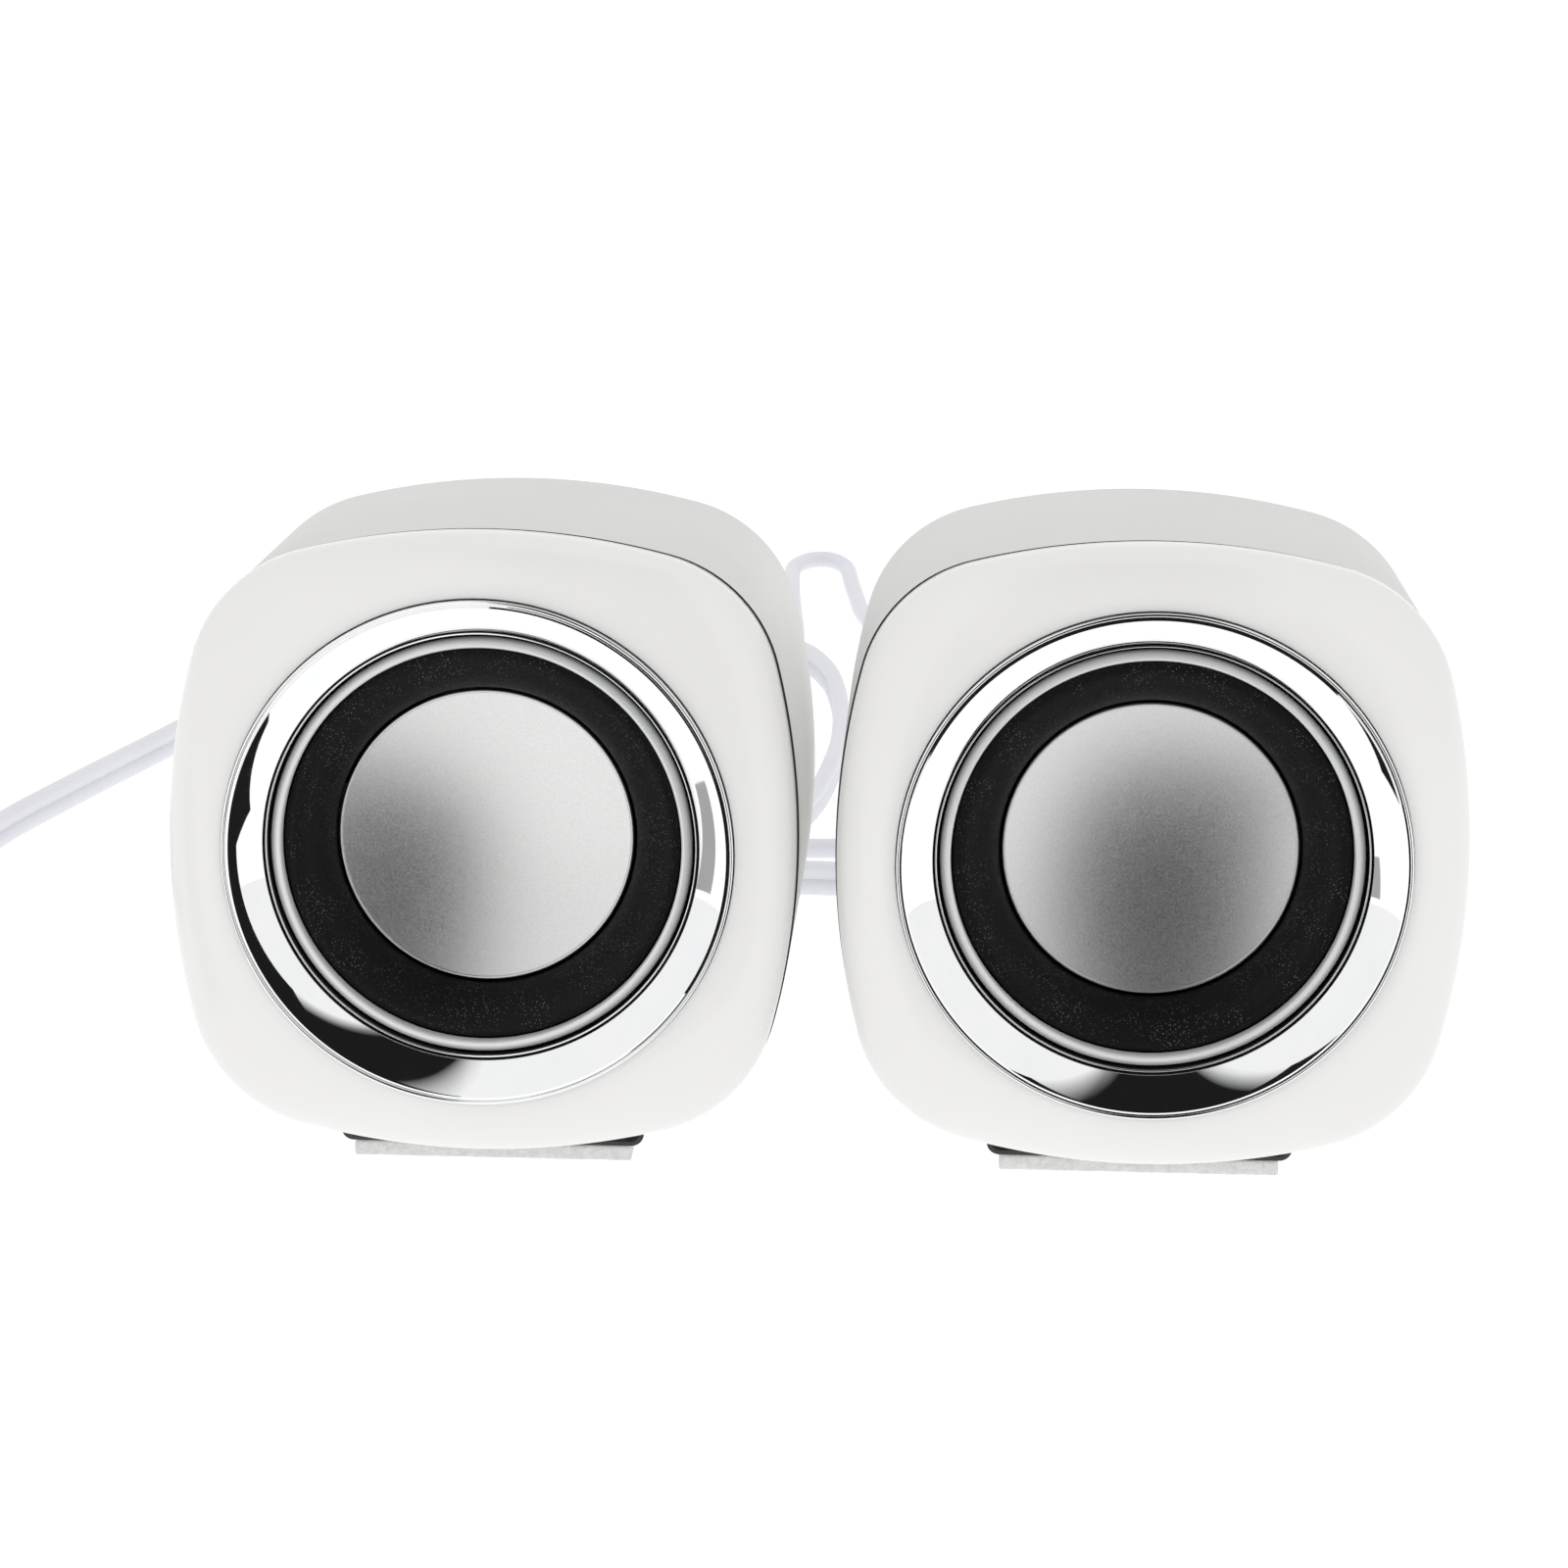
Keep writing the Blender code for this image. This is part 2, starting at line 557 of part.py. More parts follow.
LINK_ROUTE = [
    (48.3, 88.5, 14.3), (48, 98, 10.8), (44.5, 108, 5.8), (36, 118, 2.2), (24, 125, 1.6),
    (10, 128.4, 1.6), (-2, 128.5, 1.6), (-11.5, 128.5, 1.6), (-17.8, 134.8, 1.6), (-11.5, 141.1, 1.6),
    (-4, 141.2, 1.6), (4, 142.6, 1.6), (12.5, 147.5, 1.6), (19, 159, 1.6), (21.5, 185, 1.6),
    (18, 222, 1.6), (10.5, 250, 1.6), (3.6, 270, 1.6), (-0.3, 284, 1.6), (-2.2, 299, 1.6),
    (-3.4, 311, 1.6), (-4.3, 320, 1.6), (-6.3, 325.8, 1.6), (-9.2, 328, 1.6), (-12.1, 325.8, 1.6),
    (-14.1, 320, 1.6), (-14.1, 311, 1.6), (-13.6, 299, 1.6), (-12.8, 286, 1.6), (-11.9, 272, 1.6),
    (-11.7, 258, 1.6), (-13.4, 242, 1.6), (-18.5, 225, 1.6), (-28, 196, 1.6), (-37, 160, 1.6),
    (-40, 126, 2.2), (-38.8, 110, 6.0), (-38.3, 98, 11.0), (-38.3, 88.5, 14.3),
]


def build_leads(finishes):
    """The free leads, as plain tubes and one ring for the coiled length."""
    main_start = exit_point(1, MAIN_EXIT)
    tube("main_lead", [main_start, *MAIN_ROUTE], TWIN_WIDTH, finishes["lead"], 9.0)
    link_ends = exit_point(1, RIGHT_LINK_EXIT), exit_point(-1, LEFT_LINK_EXIT)
    link_points = [link_ends[0], *LINK_ROUTE, link_ends[1]]
    tube("link_lead", link_points, LINK_WIDTH, finishes["lead"], 8.0)
    inner, outer = COIL_RADII
    ring = turned("coil_ring", [(outer, 0.1), (inner, 0.1), (inner, 5.3), (outer, 5.3)], 36)
    place = (COIL_CENTRE[0], COIL_CENTRE[1] + FRONT_Y, 0.0)
    coil = add_object("main_lead_coil", ring, finishes["lead"], None, place)
    coil.rotation_euler.x = math.radians(90)
    build_far_end(finishes)


def build_far_end(finishes):
    """The splitter in the middle of the coil, the two tails over it, and a plug on each."""
    x, start, end = COIL_CENTRE[0], SPLITTER_Y[0], SPLITTER_Y[1]
    shift = Vector((0, FRONT_Y, 0))
    low = Vector((x - 4.2, end, 0.1)) + shift
    shape = block("splitter", low, low + Vector((8.4, start - end, 5.0)))
    add_object("lead_splitter", shape, finishes["lead"])
    for name, side, plug_x in (("usb_tail", -1, USB_X), ("audio_tail", 1, JACK_X)):
        tube(name, tail_route(side, plug_x), TAIL_WIDTH, finishes["lead"], 6.0)
    usb_plug(finishes, shift)
    jack_plug(finishes, shift)


def tail_route(side, plug_x):
    """From the splitter over the coil's near side, down to the table, and up into a plug's back."""
    x, end = COIL_CENTRE[0] + side * 1.9, SPLITTER_Y[1] - GAP
    near = COIL_CENTRE[1] - COIL_RADII[0]
    return [
        (x, end, 2.6), (x, end - 6, 4.6), (x + side * 0.6, near + 2, 7.2), (x + side * 1.5, near - 6, 7.3),
        (x + side * 3.2, near - 13, 5.6), (x + side * 4.5, near - 19, 2.4), (plug_x, PLUG_Y + 8, 2.2),
        (plug_x, PLUG_Y + GAP, PLUG_HEIGHT),
    ]


def usb_plug(finishes, shift):
    """The moulded body with its short taper, and the hollow steel shell."""
    y, z = PLUG_Y, PLUG_HEIGHT
    low = Vector((USB_X - 7.5, y - 28, 0.1)) + shift
    body = block("usb_body", low, low + Vector((15.0, 22.0, 8.0)))
    made = add_object("usb_plug_body", body, finishes["lead"])
    taper = turned("taper", [(0.0, 0.0), (1.9, 0.0), (3.4, -7.0), (0.0, -7.0)], 16)
    place = Vector((USB_X, y, z)) + shift
    combine(made, add_object("usb_taper", taper, finishes["lead"], None, place), "UNION")
    low = Vector((USB_X - 6.0, y - 40.3, z - 2.25)) + shift
    high = Vector((USB_X + 6.0, y - 28.3, z + 2.25)) + shift
    shell = add_object("usb_plug_shell", block("usb_shell", low, high), finishes["steel"])
    inside = block("usb_inside", low + Vector((0.4, -1, 0.4)), high - Vector((0.4, 1.0, 0.4)))
    combine(shell, add_object("usb_inside", inside, finishes["steel"]), "DIFFERENCE")


def jack_plug(finishes, shift):
    """The moulded body with its taper, and the pin with its tip."""
    place = Vector((JACK_X, PLUG_Y, PLUG_HEIGHT)) + shift
    body = [(0.0, 0.0), (1.9, 0.0), (2.6, -6.0), (3.9, -7.5), (3.9, -22.0), (2.9, -24.0), (0.0, -24.0)]
    add_object("jack_plug_body", turned("jack_body", body, 20), finishes["lead"], None, place)
    pin = [(0.0, -24.3), (1.75, -24.3), (1.75, -35.0), (1.2, -35.8), (1.6, -36.9)]
    pin += [(0.7, -38.2), (0.0, -38.3)]
    add_object("jack_plug_pin", turned("jack_pin", pin, 16), finishes["steel"], None, place)


def main():
    for old in list(bpy.data.objects):
        bpy.data.objects.remove(old)
    finishes = {
        "gloss_white": material("gloss_white", (0.86, 0.85, 0.84), 0.22),
        "matte_white": material("matte_white", (0.74, 0.74, 0.72), 0.55),
        "chrome": material("chrome", (0.82, 0.83, 0.84), 0.05, 1.0),
        "satin": material("satin", (0.62, 0.62, 0.62), 0.35, 1.0),
        "rubber": material("rubber", (0.02, 0.02, 0.02), 0.75),
        "paper": material("paper", (0.05, 0.05, 0.05), 0.9),
        "copper": material("copper", (0.72, 0.38, 0.22), 0.4, 1.0),
        "cloth": material("cloth", (0.45, 0.33, 0.15), 0.9),
        "steel": material("steel", (0.5, 0.5, 0.52), 0.4, 1.0),
        "ferrite": material("ferrite", (0.06, 0.06, 0.065), 0.6),
        "board": material("board", (0.05, 0.2, 0.09), 0.5),
        "black_plastic": material("black_plastic", (0.03, 0.03, 0.035), 0.45),
        "foam": material("foam", (0.72, 0.72, 0.72), 0.95),
        "lead": material("lead", (0.75, 0.75, 0.82), 0.45),
    }
    left = build_speaker("left", -1, finishes, [LEFT_LINK_EXIT])
    right = build_speaker("right", 1, finishes, [MAIN_EXIT, RIGHT_LINK_EXIT, KNOB_PLACE])
    build_master_parts(right, finishes)
    add_grommet("left_link_grommet", left, LEFT_LINK_EXIT, LINK_WIDTH, finishes["lead"])
    add_grommet("right_link_grommet", right, RIGHT_LINK_EXIT, LINK_WIDTH, finishes["lead"])
    add_grommet("right_main_grommet", right, MAIN_EXIT, TWIN_WIDTH, finishes["lead"])
    build_leads(finishes)


main()
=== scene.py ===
"""Looks for a pair of small cube desktop speakers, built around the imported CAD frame.

Sizes are in millimetres in each speaker's own leaning frame: x to the right, y into the body from the
ring's front edge, z up. Leads and plugs are in the table's frame, with y counted from the ring centres.
"""

import json
from math import atan2, copysign, cos, hypot, pi, radians, sin, sqrt, tau

import bmesh
import bpy
from mathutils import Matrix, Vector


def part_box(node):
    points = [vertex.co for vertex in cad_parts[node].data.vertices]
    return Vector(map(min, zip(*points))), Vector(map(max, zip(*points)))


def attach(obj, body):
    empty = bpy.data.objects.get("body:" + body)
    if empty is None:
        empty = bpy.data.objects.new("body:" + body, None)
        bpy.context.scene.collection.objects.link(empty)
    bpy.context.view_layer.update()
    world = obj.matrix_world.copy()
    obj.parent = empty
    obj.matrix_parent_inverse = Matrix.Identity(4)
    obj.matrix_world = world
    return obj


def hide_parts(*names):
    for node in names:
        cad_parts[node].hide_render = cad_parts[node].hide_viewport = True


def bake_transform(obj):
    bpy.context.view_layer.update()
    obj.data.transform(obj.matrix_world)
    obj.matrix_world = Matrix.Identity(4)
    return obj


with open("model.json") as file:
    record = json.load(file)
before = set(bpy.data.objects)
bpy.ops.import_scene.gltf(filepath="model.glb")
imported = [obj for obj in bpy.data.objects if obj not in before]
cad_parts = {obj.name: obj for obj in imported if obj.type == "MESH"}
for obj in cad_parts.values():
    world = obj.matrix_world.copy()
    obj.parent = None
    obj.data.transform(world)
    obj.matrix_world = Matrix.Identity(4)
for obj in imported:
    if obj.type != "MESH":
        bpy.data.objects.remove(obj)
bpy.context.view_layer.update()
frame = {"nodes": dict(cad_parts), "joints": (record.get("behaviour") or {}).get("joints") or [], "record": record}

MM = 0.001
ROOT = "pair"
SIDES = ("left", "right")

# The speaker's shape, as in the CAD
HALF = 36.0
SIDE_RADIUS = 85.0
CORNER_RADIUS = 17.0
DEPTH = 70.0
SEAM = 9.5
SEAM_GAP = 0.45
SHELL_SHIFT = 0.22
REAR_ROUND = 10.0
REAR_WIDEN = 0.4
WALL = 2.2
HOLE_RADIUS = 29.3
RING_RADIUS = 29.0
CAP_RADIUS = 17.1
CAP_EDGE = 11.8
CAP_DISH = 3.0
FUNNEL_OUTER = 28.3
FUNNEL_INNER = 25.05
FUNNEL_DEPTH = 4.5
FUNNEL_STEPS = 20
FUNNEL_TILTS = (24.0, 42.0)  # degrees, at the outer and the inner edge
TRIM_MIDDLE = 5.9  # the trim ring's middle behind the ring's front edge
PLINTH_FRONT = 15.0
PLINTH_SIZE = (36.0, 35.0)
PAD_SIZE = (33.0, 34.0, 1.8)
GAP = 0.3
REAR_SCREWS = ((19.0, 19.0), (-19.0, -19.0))
KNOB_PLACE = (0.0, 8.0)
KNOB_HEIGHT = 9.0
MAIN_EXIT = (-12.0, -20.0)
RIGHT_LINK_EXIT = (10.0, -20.0)
LEFT_LINK_EXIT = (0.0, -20.0)
GROMMET_END = 82.0

# The leads
TWIN_WIDTH = 5.0
TWIN_THICK = 2.6
LINK_WIDTH = 2.9
TAIL_WIDTH = 2.5
COIL_CENTRE = (-158.0, 110.0)
COIL_RADIUS = 31.3
COIL_PITCH = 2.7
COIL_TURNS = 8 / 3
TIE_TURN = radians(150)
TIE_WIDTH = 3.0
TIE_THICK = 0.3
TIE_UNDER = 0.03
TIE_TOP = 5.5
SPLITTER_Y = (116.5, 103.0)
PLUG_Y = 56.0
PLUG_HEIGHT = 4.1
USB_X = -167.0
JACK_X = -149.0

# The studio
FLOOR_GLOW = 1.09
SURROUND_GLOW = 0.95
DARK_GLOW = 0.012
GAP_POWER = 0.0035

# How finely the visible surfaces are drawn
OUTLINE_POINTS = 240
RING_POINTS = 180
SMALL_POINTS = 64

travel = next(j for j in frame["joints"] if j["name"] == "left_diaphragm_travel")
LEAN = atan2(travel["axis"][2], -travel["axis"][1])


def speaker_matrix(side):
    """The leaning frame of one speaker, found from its trim ring."""
    low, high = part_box(f"{side}_trim_ring")
    into = Vector((0.0, cos(LEAN), -sin(LEAN)))
    origin = (low + high) / 2 - into * TRIM_MIDDLE * MM
    return Matrix.Translation(origin) @ Matrix.Rotation(-LEAN, 4, "X")


SPEAKER = {side: speaker_matrix(side) for side in SIDES}
FRONT_Y = SPEAKER["left"].translation.y / MM
CENTRE_HEIGHT = SPEAKER["left"].translation.z / MM
TABLE = Matrix.Translation((0.0, FRONT_Y * MM, 0.0))


def new_object(name, data, matrix=Matrix()):
    """An object in the scene."""
    made = bpy.data.objects.new(name, data)
    bpy.context.scene.collection.objects.link(made)
    made.matrix_world = matrix
    return made


# ---- camera

CAMERA_PLACE = (14.74, -486.55, 189.7)
CAMERA_DOWN = 15.86
CAMERA_TURN = 2.15
CAMERA_ROLL = 0.565
CAMERA_LENS = 103.5


def make_camera():
    """The viewpoint, slightly above and a little to the right of the middle."""
    data = bpy.data.cameras.new("camera")
    data.lens = CAMERA_LENS
    data.sensor_width = 36.0
    data.clip_start = 0.01
    place = TABLE @ (Vector(CAMERA_PLACE) * MM)
    turn = Matrix.Rotation(radians(CAMERA_TURN), 4, "Z")
    tilt = Matrix.Rotation(radians(90 - CAMERA_DOWN), 4, "X")
    roll = Matrix.Rotation(radians(CAMERA_ROLL), 4, "Z")
    view = Matrix.Translation(place) @ turn @ tilt @ roll
    bpy.context.scene.camera = new_object("camera", data, view)


# ---- materials


class Finish:
    """A Principled material while it is made. Its patterns lie in object coordinates."""

    def __init__(self, name):
        self.material = bpy.data.materials.new(name)
        self.material.use_nodes = True
        self.nodes = self.material.node_tree.nodes
        self.links = self.material.node_tree.links
        self.shader = self.nodes["Principled BSDF"]
        self.where = self.nodes.new("ShaderNodeTexCoord").outputs["Object"]
        self.normal = None

    def node(self, kind, **values):
        """A new node with some of its inputs set. An underscore stands for a space in an input's name."""
        made = self.nodes.new(kind)
        for name, value in values.items():
            made.inputs[name.replace("_", " ")].default_value = value
        return made

    def noise(self, size, detail=3.0, rough=0.5):
        """Fractal noise whose features are about size millimetres across."""
        made = self.node("ShaderNodeTexNoise", Scale=1.0 / (size * MM), Detail=detail, Roughness=rough)
        self.links.new(self.where, made.inputs["Vector"])
        return made.outputs["Fac"]

    def spread(self, value, low, high, start=0.3, end=0.7):
        """The value from start to end, as a number from low to high."""
        made = self.node("ShaderNodeMapRange", From_Min=start, From_Max=end, To_Min=low, To_Max=high)
        self.links.new(value, made.inputs["Value"])
        return made.outputs["Result"]

    def specks(self, size, share):
        """Small round grains on a cell pattern: 1 on a grain and 0 between them."""
        made = self.node("ShaderNodeTexVoronoi", Scale=1.0 / (size * MM))
        self.links.new(self.where, made.inputs["Vector"])
        return self.spread(made.outputs["Distance"], 1.0, 0.0, share * 0.4, share)

    def product(self, first, second):
        """Two patterns multiplied."""
        made = self.nodes.new("ShaderNodeMath")
        made.operation = "MULTIPLY"
        self.links.new(first, made.inputs[0])
        self.links.new(second, made.inputs[1])
        return made.outputs[0]

    def colour(self, value, first, second):
        """The base colour: a mix of two colours by a value from 0 to 1."""
        made = self.nodes.new("ShaderNodeMix")
        made.data_type = "RGBA"
        made.inputs["A"].default_value = (*first, 1.0)
        made.inputs["B"].default_value = (*second, 1.0)
        self.links.new(value, made.inputs["Factor"])
        self.links.new(made.outputs["Result"], self.shader.inputs["Base Color"])

    def mottle(self, value, first, second):
        """The base colour: two colours mixed by a noise."""
        self.colour(self.spread(value, 0.0, 1.0), first, second)

    def gloss(self, value, low, high, start=0.3, end=0.7):
        """The roughness, from low to high."""
        self.links.new(self.spread(value, low, high, start, end), self.shader.inputs["Roughness"])

    def relief(self, value, height, strength=1.0):
        """A bump of height millimetres, on top of any earlier one."""
        made = self.node("ShaderNodeBump", Distance=height * MM, Strength=strength)
        self.links.new(value, made.inputs["Height"])
        if self.normal is not None:
            self.links.new(self.normal, made.inputs["Normal"])
        self.normal = made.outputs["Normal"]
        self.links.new(self.normal, self.shader.inputs["Normal"])


def plain(name, tones, grain, roughness, metallic=0.0, mottle=20.0, relief=0.01):
    """A moulded or cast surface: two close tones, uneven gloss and a fine relief."""
    made = Finish(name)
    fine = made.noise(grain, 4.0, 0.6)
    made.mottle(made.noise(mottle), *tones)
    made.gloss(fine, *roughness)
    made.relief(fine, relief)
    made.shader.inputs["Metallic"].default_value = metallic
    return made.material


def make_gloss_white():
    """High gloss ABS: a clear skin over white, with the faintest waviness."""
    made = Finish("gloss_white")
    made.mottle(made.noise(25.0), (0.815, 0.808, 0.795), (0.835, 0.829, 0.817))
    made.gloss(made.noise(6.0, 4.0), 0.17, 0.25)
    made.relief(made.noise(2.5), 0.006)
    made.shader.inputs["IOR"].default_value = 1.5
    return made.material


def make_matte_white():
    """The cabinet's spark-eroded texture: fine pits and a soft satin sheen."""
    made = Finish("matte_white")
    pits = made.noise(0.35, 5.0, 0.65)
    made.mottle(made.noise(30.0), (0.680, 0.684, 0.668), (0.705, 0.709, 0.693))
    made.gloss(pits, 0.42, 0.58)
    made.relief(pits, 0.03)
    return made.material


def make_chrome():
    """Vacuum plating: a mirror with a few faint smears."""
    made = Finish("chrome")
    smear = made.noise(5.0, 5.0, 0.7)
    made.mottle(smear, (0.90, 0.91, 0.92), (0.94, 0.94, 0.94))
    made.gloss(smear, 0.02, 0.07, 0.45, 0.8)
    made.shader.inputs["Metallic"].default_value = 1.0
    return made.material


def make_satin():
    """Satin silver lacquer: metal with a fine sparkling grain."""
    made = Finish("satin")
    grain = made.noise(0.22, 3.0, 0.6)
    made.mottle(grain, (0.72, 0.72, 0.715), (0.86, 0.86, 0.855))
    made.gloss(grain, 0.32, 0.42)
    made.relief(grain, 0.004)
    made.shader.inputs["Metallic"].default_value = 1.0
    return made.material


def make_rubber():
    """Black surround: fine grain with scattered dust that catches the light."""
    made = Finish("rubber")
    patch = made.spread(made.noise(4.0, 5.0, 0.6), 0.08, 1.0, 0.42, 0.66)
    dust = made.product(made.specks(0.28, 0.22), patch)
    made.colour(dust, (0.0045, 0.0043, 0.0042), (0.30, 0.30, 0.31))
    grain = made.noise(0.3, 4.0, 0.6)
    made.gloss(grain, 0.45, 0.65)
    made.relief(grain, 0.025)
    made.shader.inputs["Specular IOR Level"].default_value = 0.18
    return made.material


def make_foam():
    """Light grey closed-cell foam with darker cells."""
    made = Finish("foam")
    grain = made.noise(0.8, 4.0, 0.6)
    made.mottle(grain, (0.66, 0.66, 0.65), (0.80, 0.80, 0.79))
    made.relief(made.specks(0.5, 0.45), 0.06, 0.8)
    made.relief(grain, 0.08, 0.7)
    made.shader.inputs["Roughness"].default_value = 0.95
    return made.material


def make_lead():
    """Soft white vinyl with a faint cool tint and a dull shine."""
    made = Finish("lead")
    fine = made.noise(3.0, 2.0)
    made.mottle(made.noise(12.0), (0.745, 0.750, 0.800), (0.775, 0.780, 0.825))
    made.gloss(fine, 0.34, 0.42)
    made.relief(fine, 0.004)
    return made.material


def make_board():
    """Green solder mask over faint copper tracks."""
    made = Finish("board")
    tracks = made.node("ShaderNodeTexBrick", Scale=1.0 / (4.0 * MM), Mortar_Size=0.06)
    tones = (0.020, 0.120, 0.050), (0.025, 0.140, 0.060), (0.060, 0.240, 0.110)
    for name, tone in zip(("Color1", "Color2", "Mortar"), tones):
        tracks.inputs[name].default_value = (*tone, 1.0)
    made.links.new(made.where, tracks.inputs["Vector"])
    made.links.new(tracks.outputs["Color"], made.shader.inputs["Base Color"])
    made.relief(tracks.outputs["Fac"], 0.03)
    made.shader.inputs["Roughness"].default_value = 0.35
    return made.material


def make_cloth():
    """Varnished spider cloth: two crossing threads."""
    made = Finish("cloth")
    threads = []
    for direction in ("X", "Z"):
        wave = made.node("ShaderNodeTexWave", Scale=0.3 / (0.5 * MM))
        wave.bands_direction = direction
        made.links.new(made.where, wave.inputs["Vector"])
        threads.append(wave.outputs["Fac"])
    weave = made.product(*threads)
    made.colour(weave, (0.30, 0.20, 0.07), (0.52, 0.38, 0.16))
    made.relief(weave, 0.05)
    made.shader.inputs["Roughness"].default_value = 0.8
    return made.material


def make_materials():
    """Every finish, by its slot in the record, and the trim ring's brighter satin."""
    bright = (0.80, 0.81, 0.815), (0.88, 0.885, 0.89)
    black = (0.018, 0.018, 0.020), (0.030, 0.030, 0.032)
    paper = (0.030, 0.030, 0.030), (0.055, 0.053, 0.050)
    ferrite = (0.040, 0.040, 0.044), (0.065, 0.065, 0.070)
    copper = (0.60, 0.24, 0.10), (0.75, 0.36, 0.18)
    zinc = (0.46, 0.47, 0.48), (0.58, 0.58, 0.59)
    return {
        "gloss_white": make_gloss_white(),
        "matte_white": make_matte_white(),
        "chrome": make_chrome(),
        "satin": make_satin(),
        "satin_trim": plain("satin_trim", bright, 0.25, (0.40, 0.50), 0.35, relief=0.004),
        "rubber": make_rubber(),
        "foam": make_foam(),
        "lead": make_lead(),
        "board": make_board(),
        "cloth": make_cloth(),
        "paper": plain("paper", paper, 0.4, (0.8, 0.95), relief=0.05),
        "copper": plain("copper", copper, 0.3, (0.25, 0.4), 1.0, 3.0),
        "steel": plain("steel", zinc, 0.6, (0.25, 0.45), 1.0, 4.0),
        "ferrite": plain("ferrite", ferrite, 0.5, (0.5, 0.7), relief=0.03),
        "black_plastic": plain("black_plastic", black, 0.4, (0.35, 0.5)),
    }


FINISHES = make_materials()


# ---- mesh tools


def join_rows(work, first, second):
    """Quads between two rings of vertices."""
    count = len(first)
    for k in range(count):
        after = (k + 1) % count
        work.faces.new((first[k], first[after], second[after], second[k]))


def closed_mesh(work):
    """A mesh in metres from a bmesh in millimetres, with its faces turned outward."""
    bmesh.ops.recalc_face_normals(work, faces=work.faces)
    bmesh.ops.scale(work, vec=Vector((MM, MM, MM)), verts=work.verts)
    mesh = bpy.data.meshes.new("piece")
    work.to_mesh(mesh)
    work.free()
    return mesh


def lofted(rings, around=False):
    """Rings of points joined in turn: around joins the last to the first, otherwise both ends are capped."""
    work = bmesh.new()
    rows = [[work.verts.new(point) for point in ring] for ring in rings]
    for first, second in zip(rows, rows[1:]):
        join_rows(work, first, second)
    if around:
        join_rows(work, rows[-1], rows[0])
    else:
        work.faces.new(rows[0])
        work.faces.new(rows[-1])
    return closed_mesh(work)


def close_end(work, row, y):
    """Triangles from a ring of vertices to a point on the axis."""
    tip = work.verts.new((0, y, 0))
    for k in range(len(row)):
        work.faces.new((row[k], row[(k + 1) % len(row)], tip))


def turned(profile, count=RING_POINTS):
    """A profile of (radius, y) points turned about the y axis. It may start and end on the axis."""
    on_axis = profile[0][0] == 0
    body = profile[1:-1] if on_axis else profile
    work = bmesh.new()
    turns = [tau * k / count for k in range(count)]
    rows = [[work.verts.new((r * cos(a), y, r * sin(a))) for a in turns] for r, y in body]
    for first, second in zip(rows, rows[1:]):
        join_rows(work, first, second)
    if not on_axis:
        join_rows(work, rows[-1], rows[0])
    else:
        close_end(work, rows[0], profile[0][1])
        close_end(work, rows[-1], profile[-1][1])
    return closed_mesh(work)


def arc(centre, radius, start, end, steps):
    """Points on an arc of a profile, by angles in degrees from +radius towards +y."""
    points = []
    for step in range(steps + 1):
        angle = radians(start + (end - start) * step / steps)
        points.append((centre[0] + radius * cos(angle), centre[1] + radius * sin(angle)))
    return points


def smooth_line(points, steps):
    """A Catmull-Rom curve through points, with a number of steps between each two."""
    nodes = [Vector(p) for p in points]
    nodes = [2 * nodes[0] - nodes[1], *nodes, 2 * nodes[-1] - nodes[-2]]
    fine = []
    for a, b, c, d in zip(nodes, nodes[1:], nodes[2:], nodes[3:]):
        for step in range(steps):
            t = step / steps
            square = (2 * a - 5 * b + 4 * c - d) * t**2
            cube = (3 * b - a - 3 * c + d) * t**3
            fine.append(0.5 * (2 * b + (c - a) * t + square + cube))
    return [*fine, nodes[-2]]


def evenly(points, spacing):
    """Points at equal steps of about spacing along a fine line of points."""
    total = sum((q - p).length for p, q in zip(points, points[1:]))
    count = max(2, round(total / spacing))
    want = total / count
    kept, run = [points[0]], 0
    for p, q in zip(points, points[1:]):
        span = (q - p).length
        while span > 0 and run + span >= want * len(kept) and len(kept) < count:
            kept.append(p.lerp(q, (want * len(kept) - run) / span))
        run += span
    return [*kept, points[-1]]


def add_piece(name, mesh, finish, matrix, sharp=30):
    """Puts a mesh in the scene with a finish, in a speaker's frame or the table's."""
    made = new_object(name, mesh, matrix)
    mesh.materials.clear()
    mesh.materials.append(FINISHES[finish])
    mesh.shade_smooth()
    mesh.set_sharp_from_angle(angle=radians(sharp))
    return made


def stand_for(piece, node, body=ROOT):
    """The piece is shown in place of a CAD node and moves with its body."""
    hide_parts(node)
    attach(piece, body)
    return piece


def show(name, node, slot, mesh, matrix, sharp=30, body=ROOT):
    """A mesh in the finish of its slot, shown in place of a CAD node."""
    return stand_for(add_piece(name, mesh, slot, matrix, sharp), node, body)


def combine(piece, mesh, operation, matrix, sharp=30):
    """An exact Boolean with another mesh, applied at once."""
    other = new_object("tool", mesh, matrix)
    step = piece.modifiers.new("combine", "BOOLEAN")
    step.operation = operation
    step.solver = "EXACT"
    step.object = other
    graph = bpy.context.evaluated_depsgraph_get()
    result = bpy.data.meshes.new_from_object(piece.evaluated_get(graph))
    piece.modifiers.clear()
    piece.data = result
    result.shade_smooth()
    result.set_sharp_from_angle(angle=radians(sharp))
    bpy.data.objects.remove(other)


def at(matrix, x, z, y=0):
    """A frame moved by millimetres."""
    return matrix @ Matrix.Translation(Vector((x, y, z)) * MM)


# ---- the bulged square


def corner_offset():
    """How far along each axis the corner arc's centre lies, so that it meets the side arcs smoothly."""
    side = HALF - SIDE_RADIUS
    reach = SIDE_RADIUS - CORNER_RADIUS
    return (side + sqrt(2 * reach**2 - side**2)) / 2


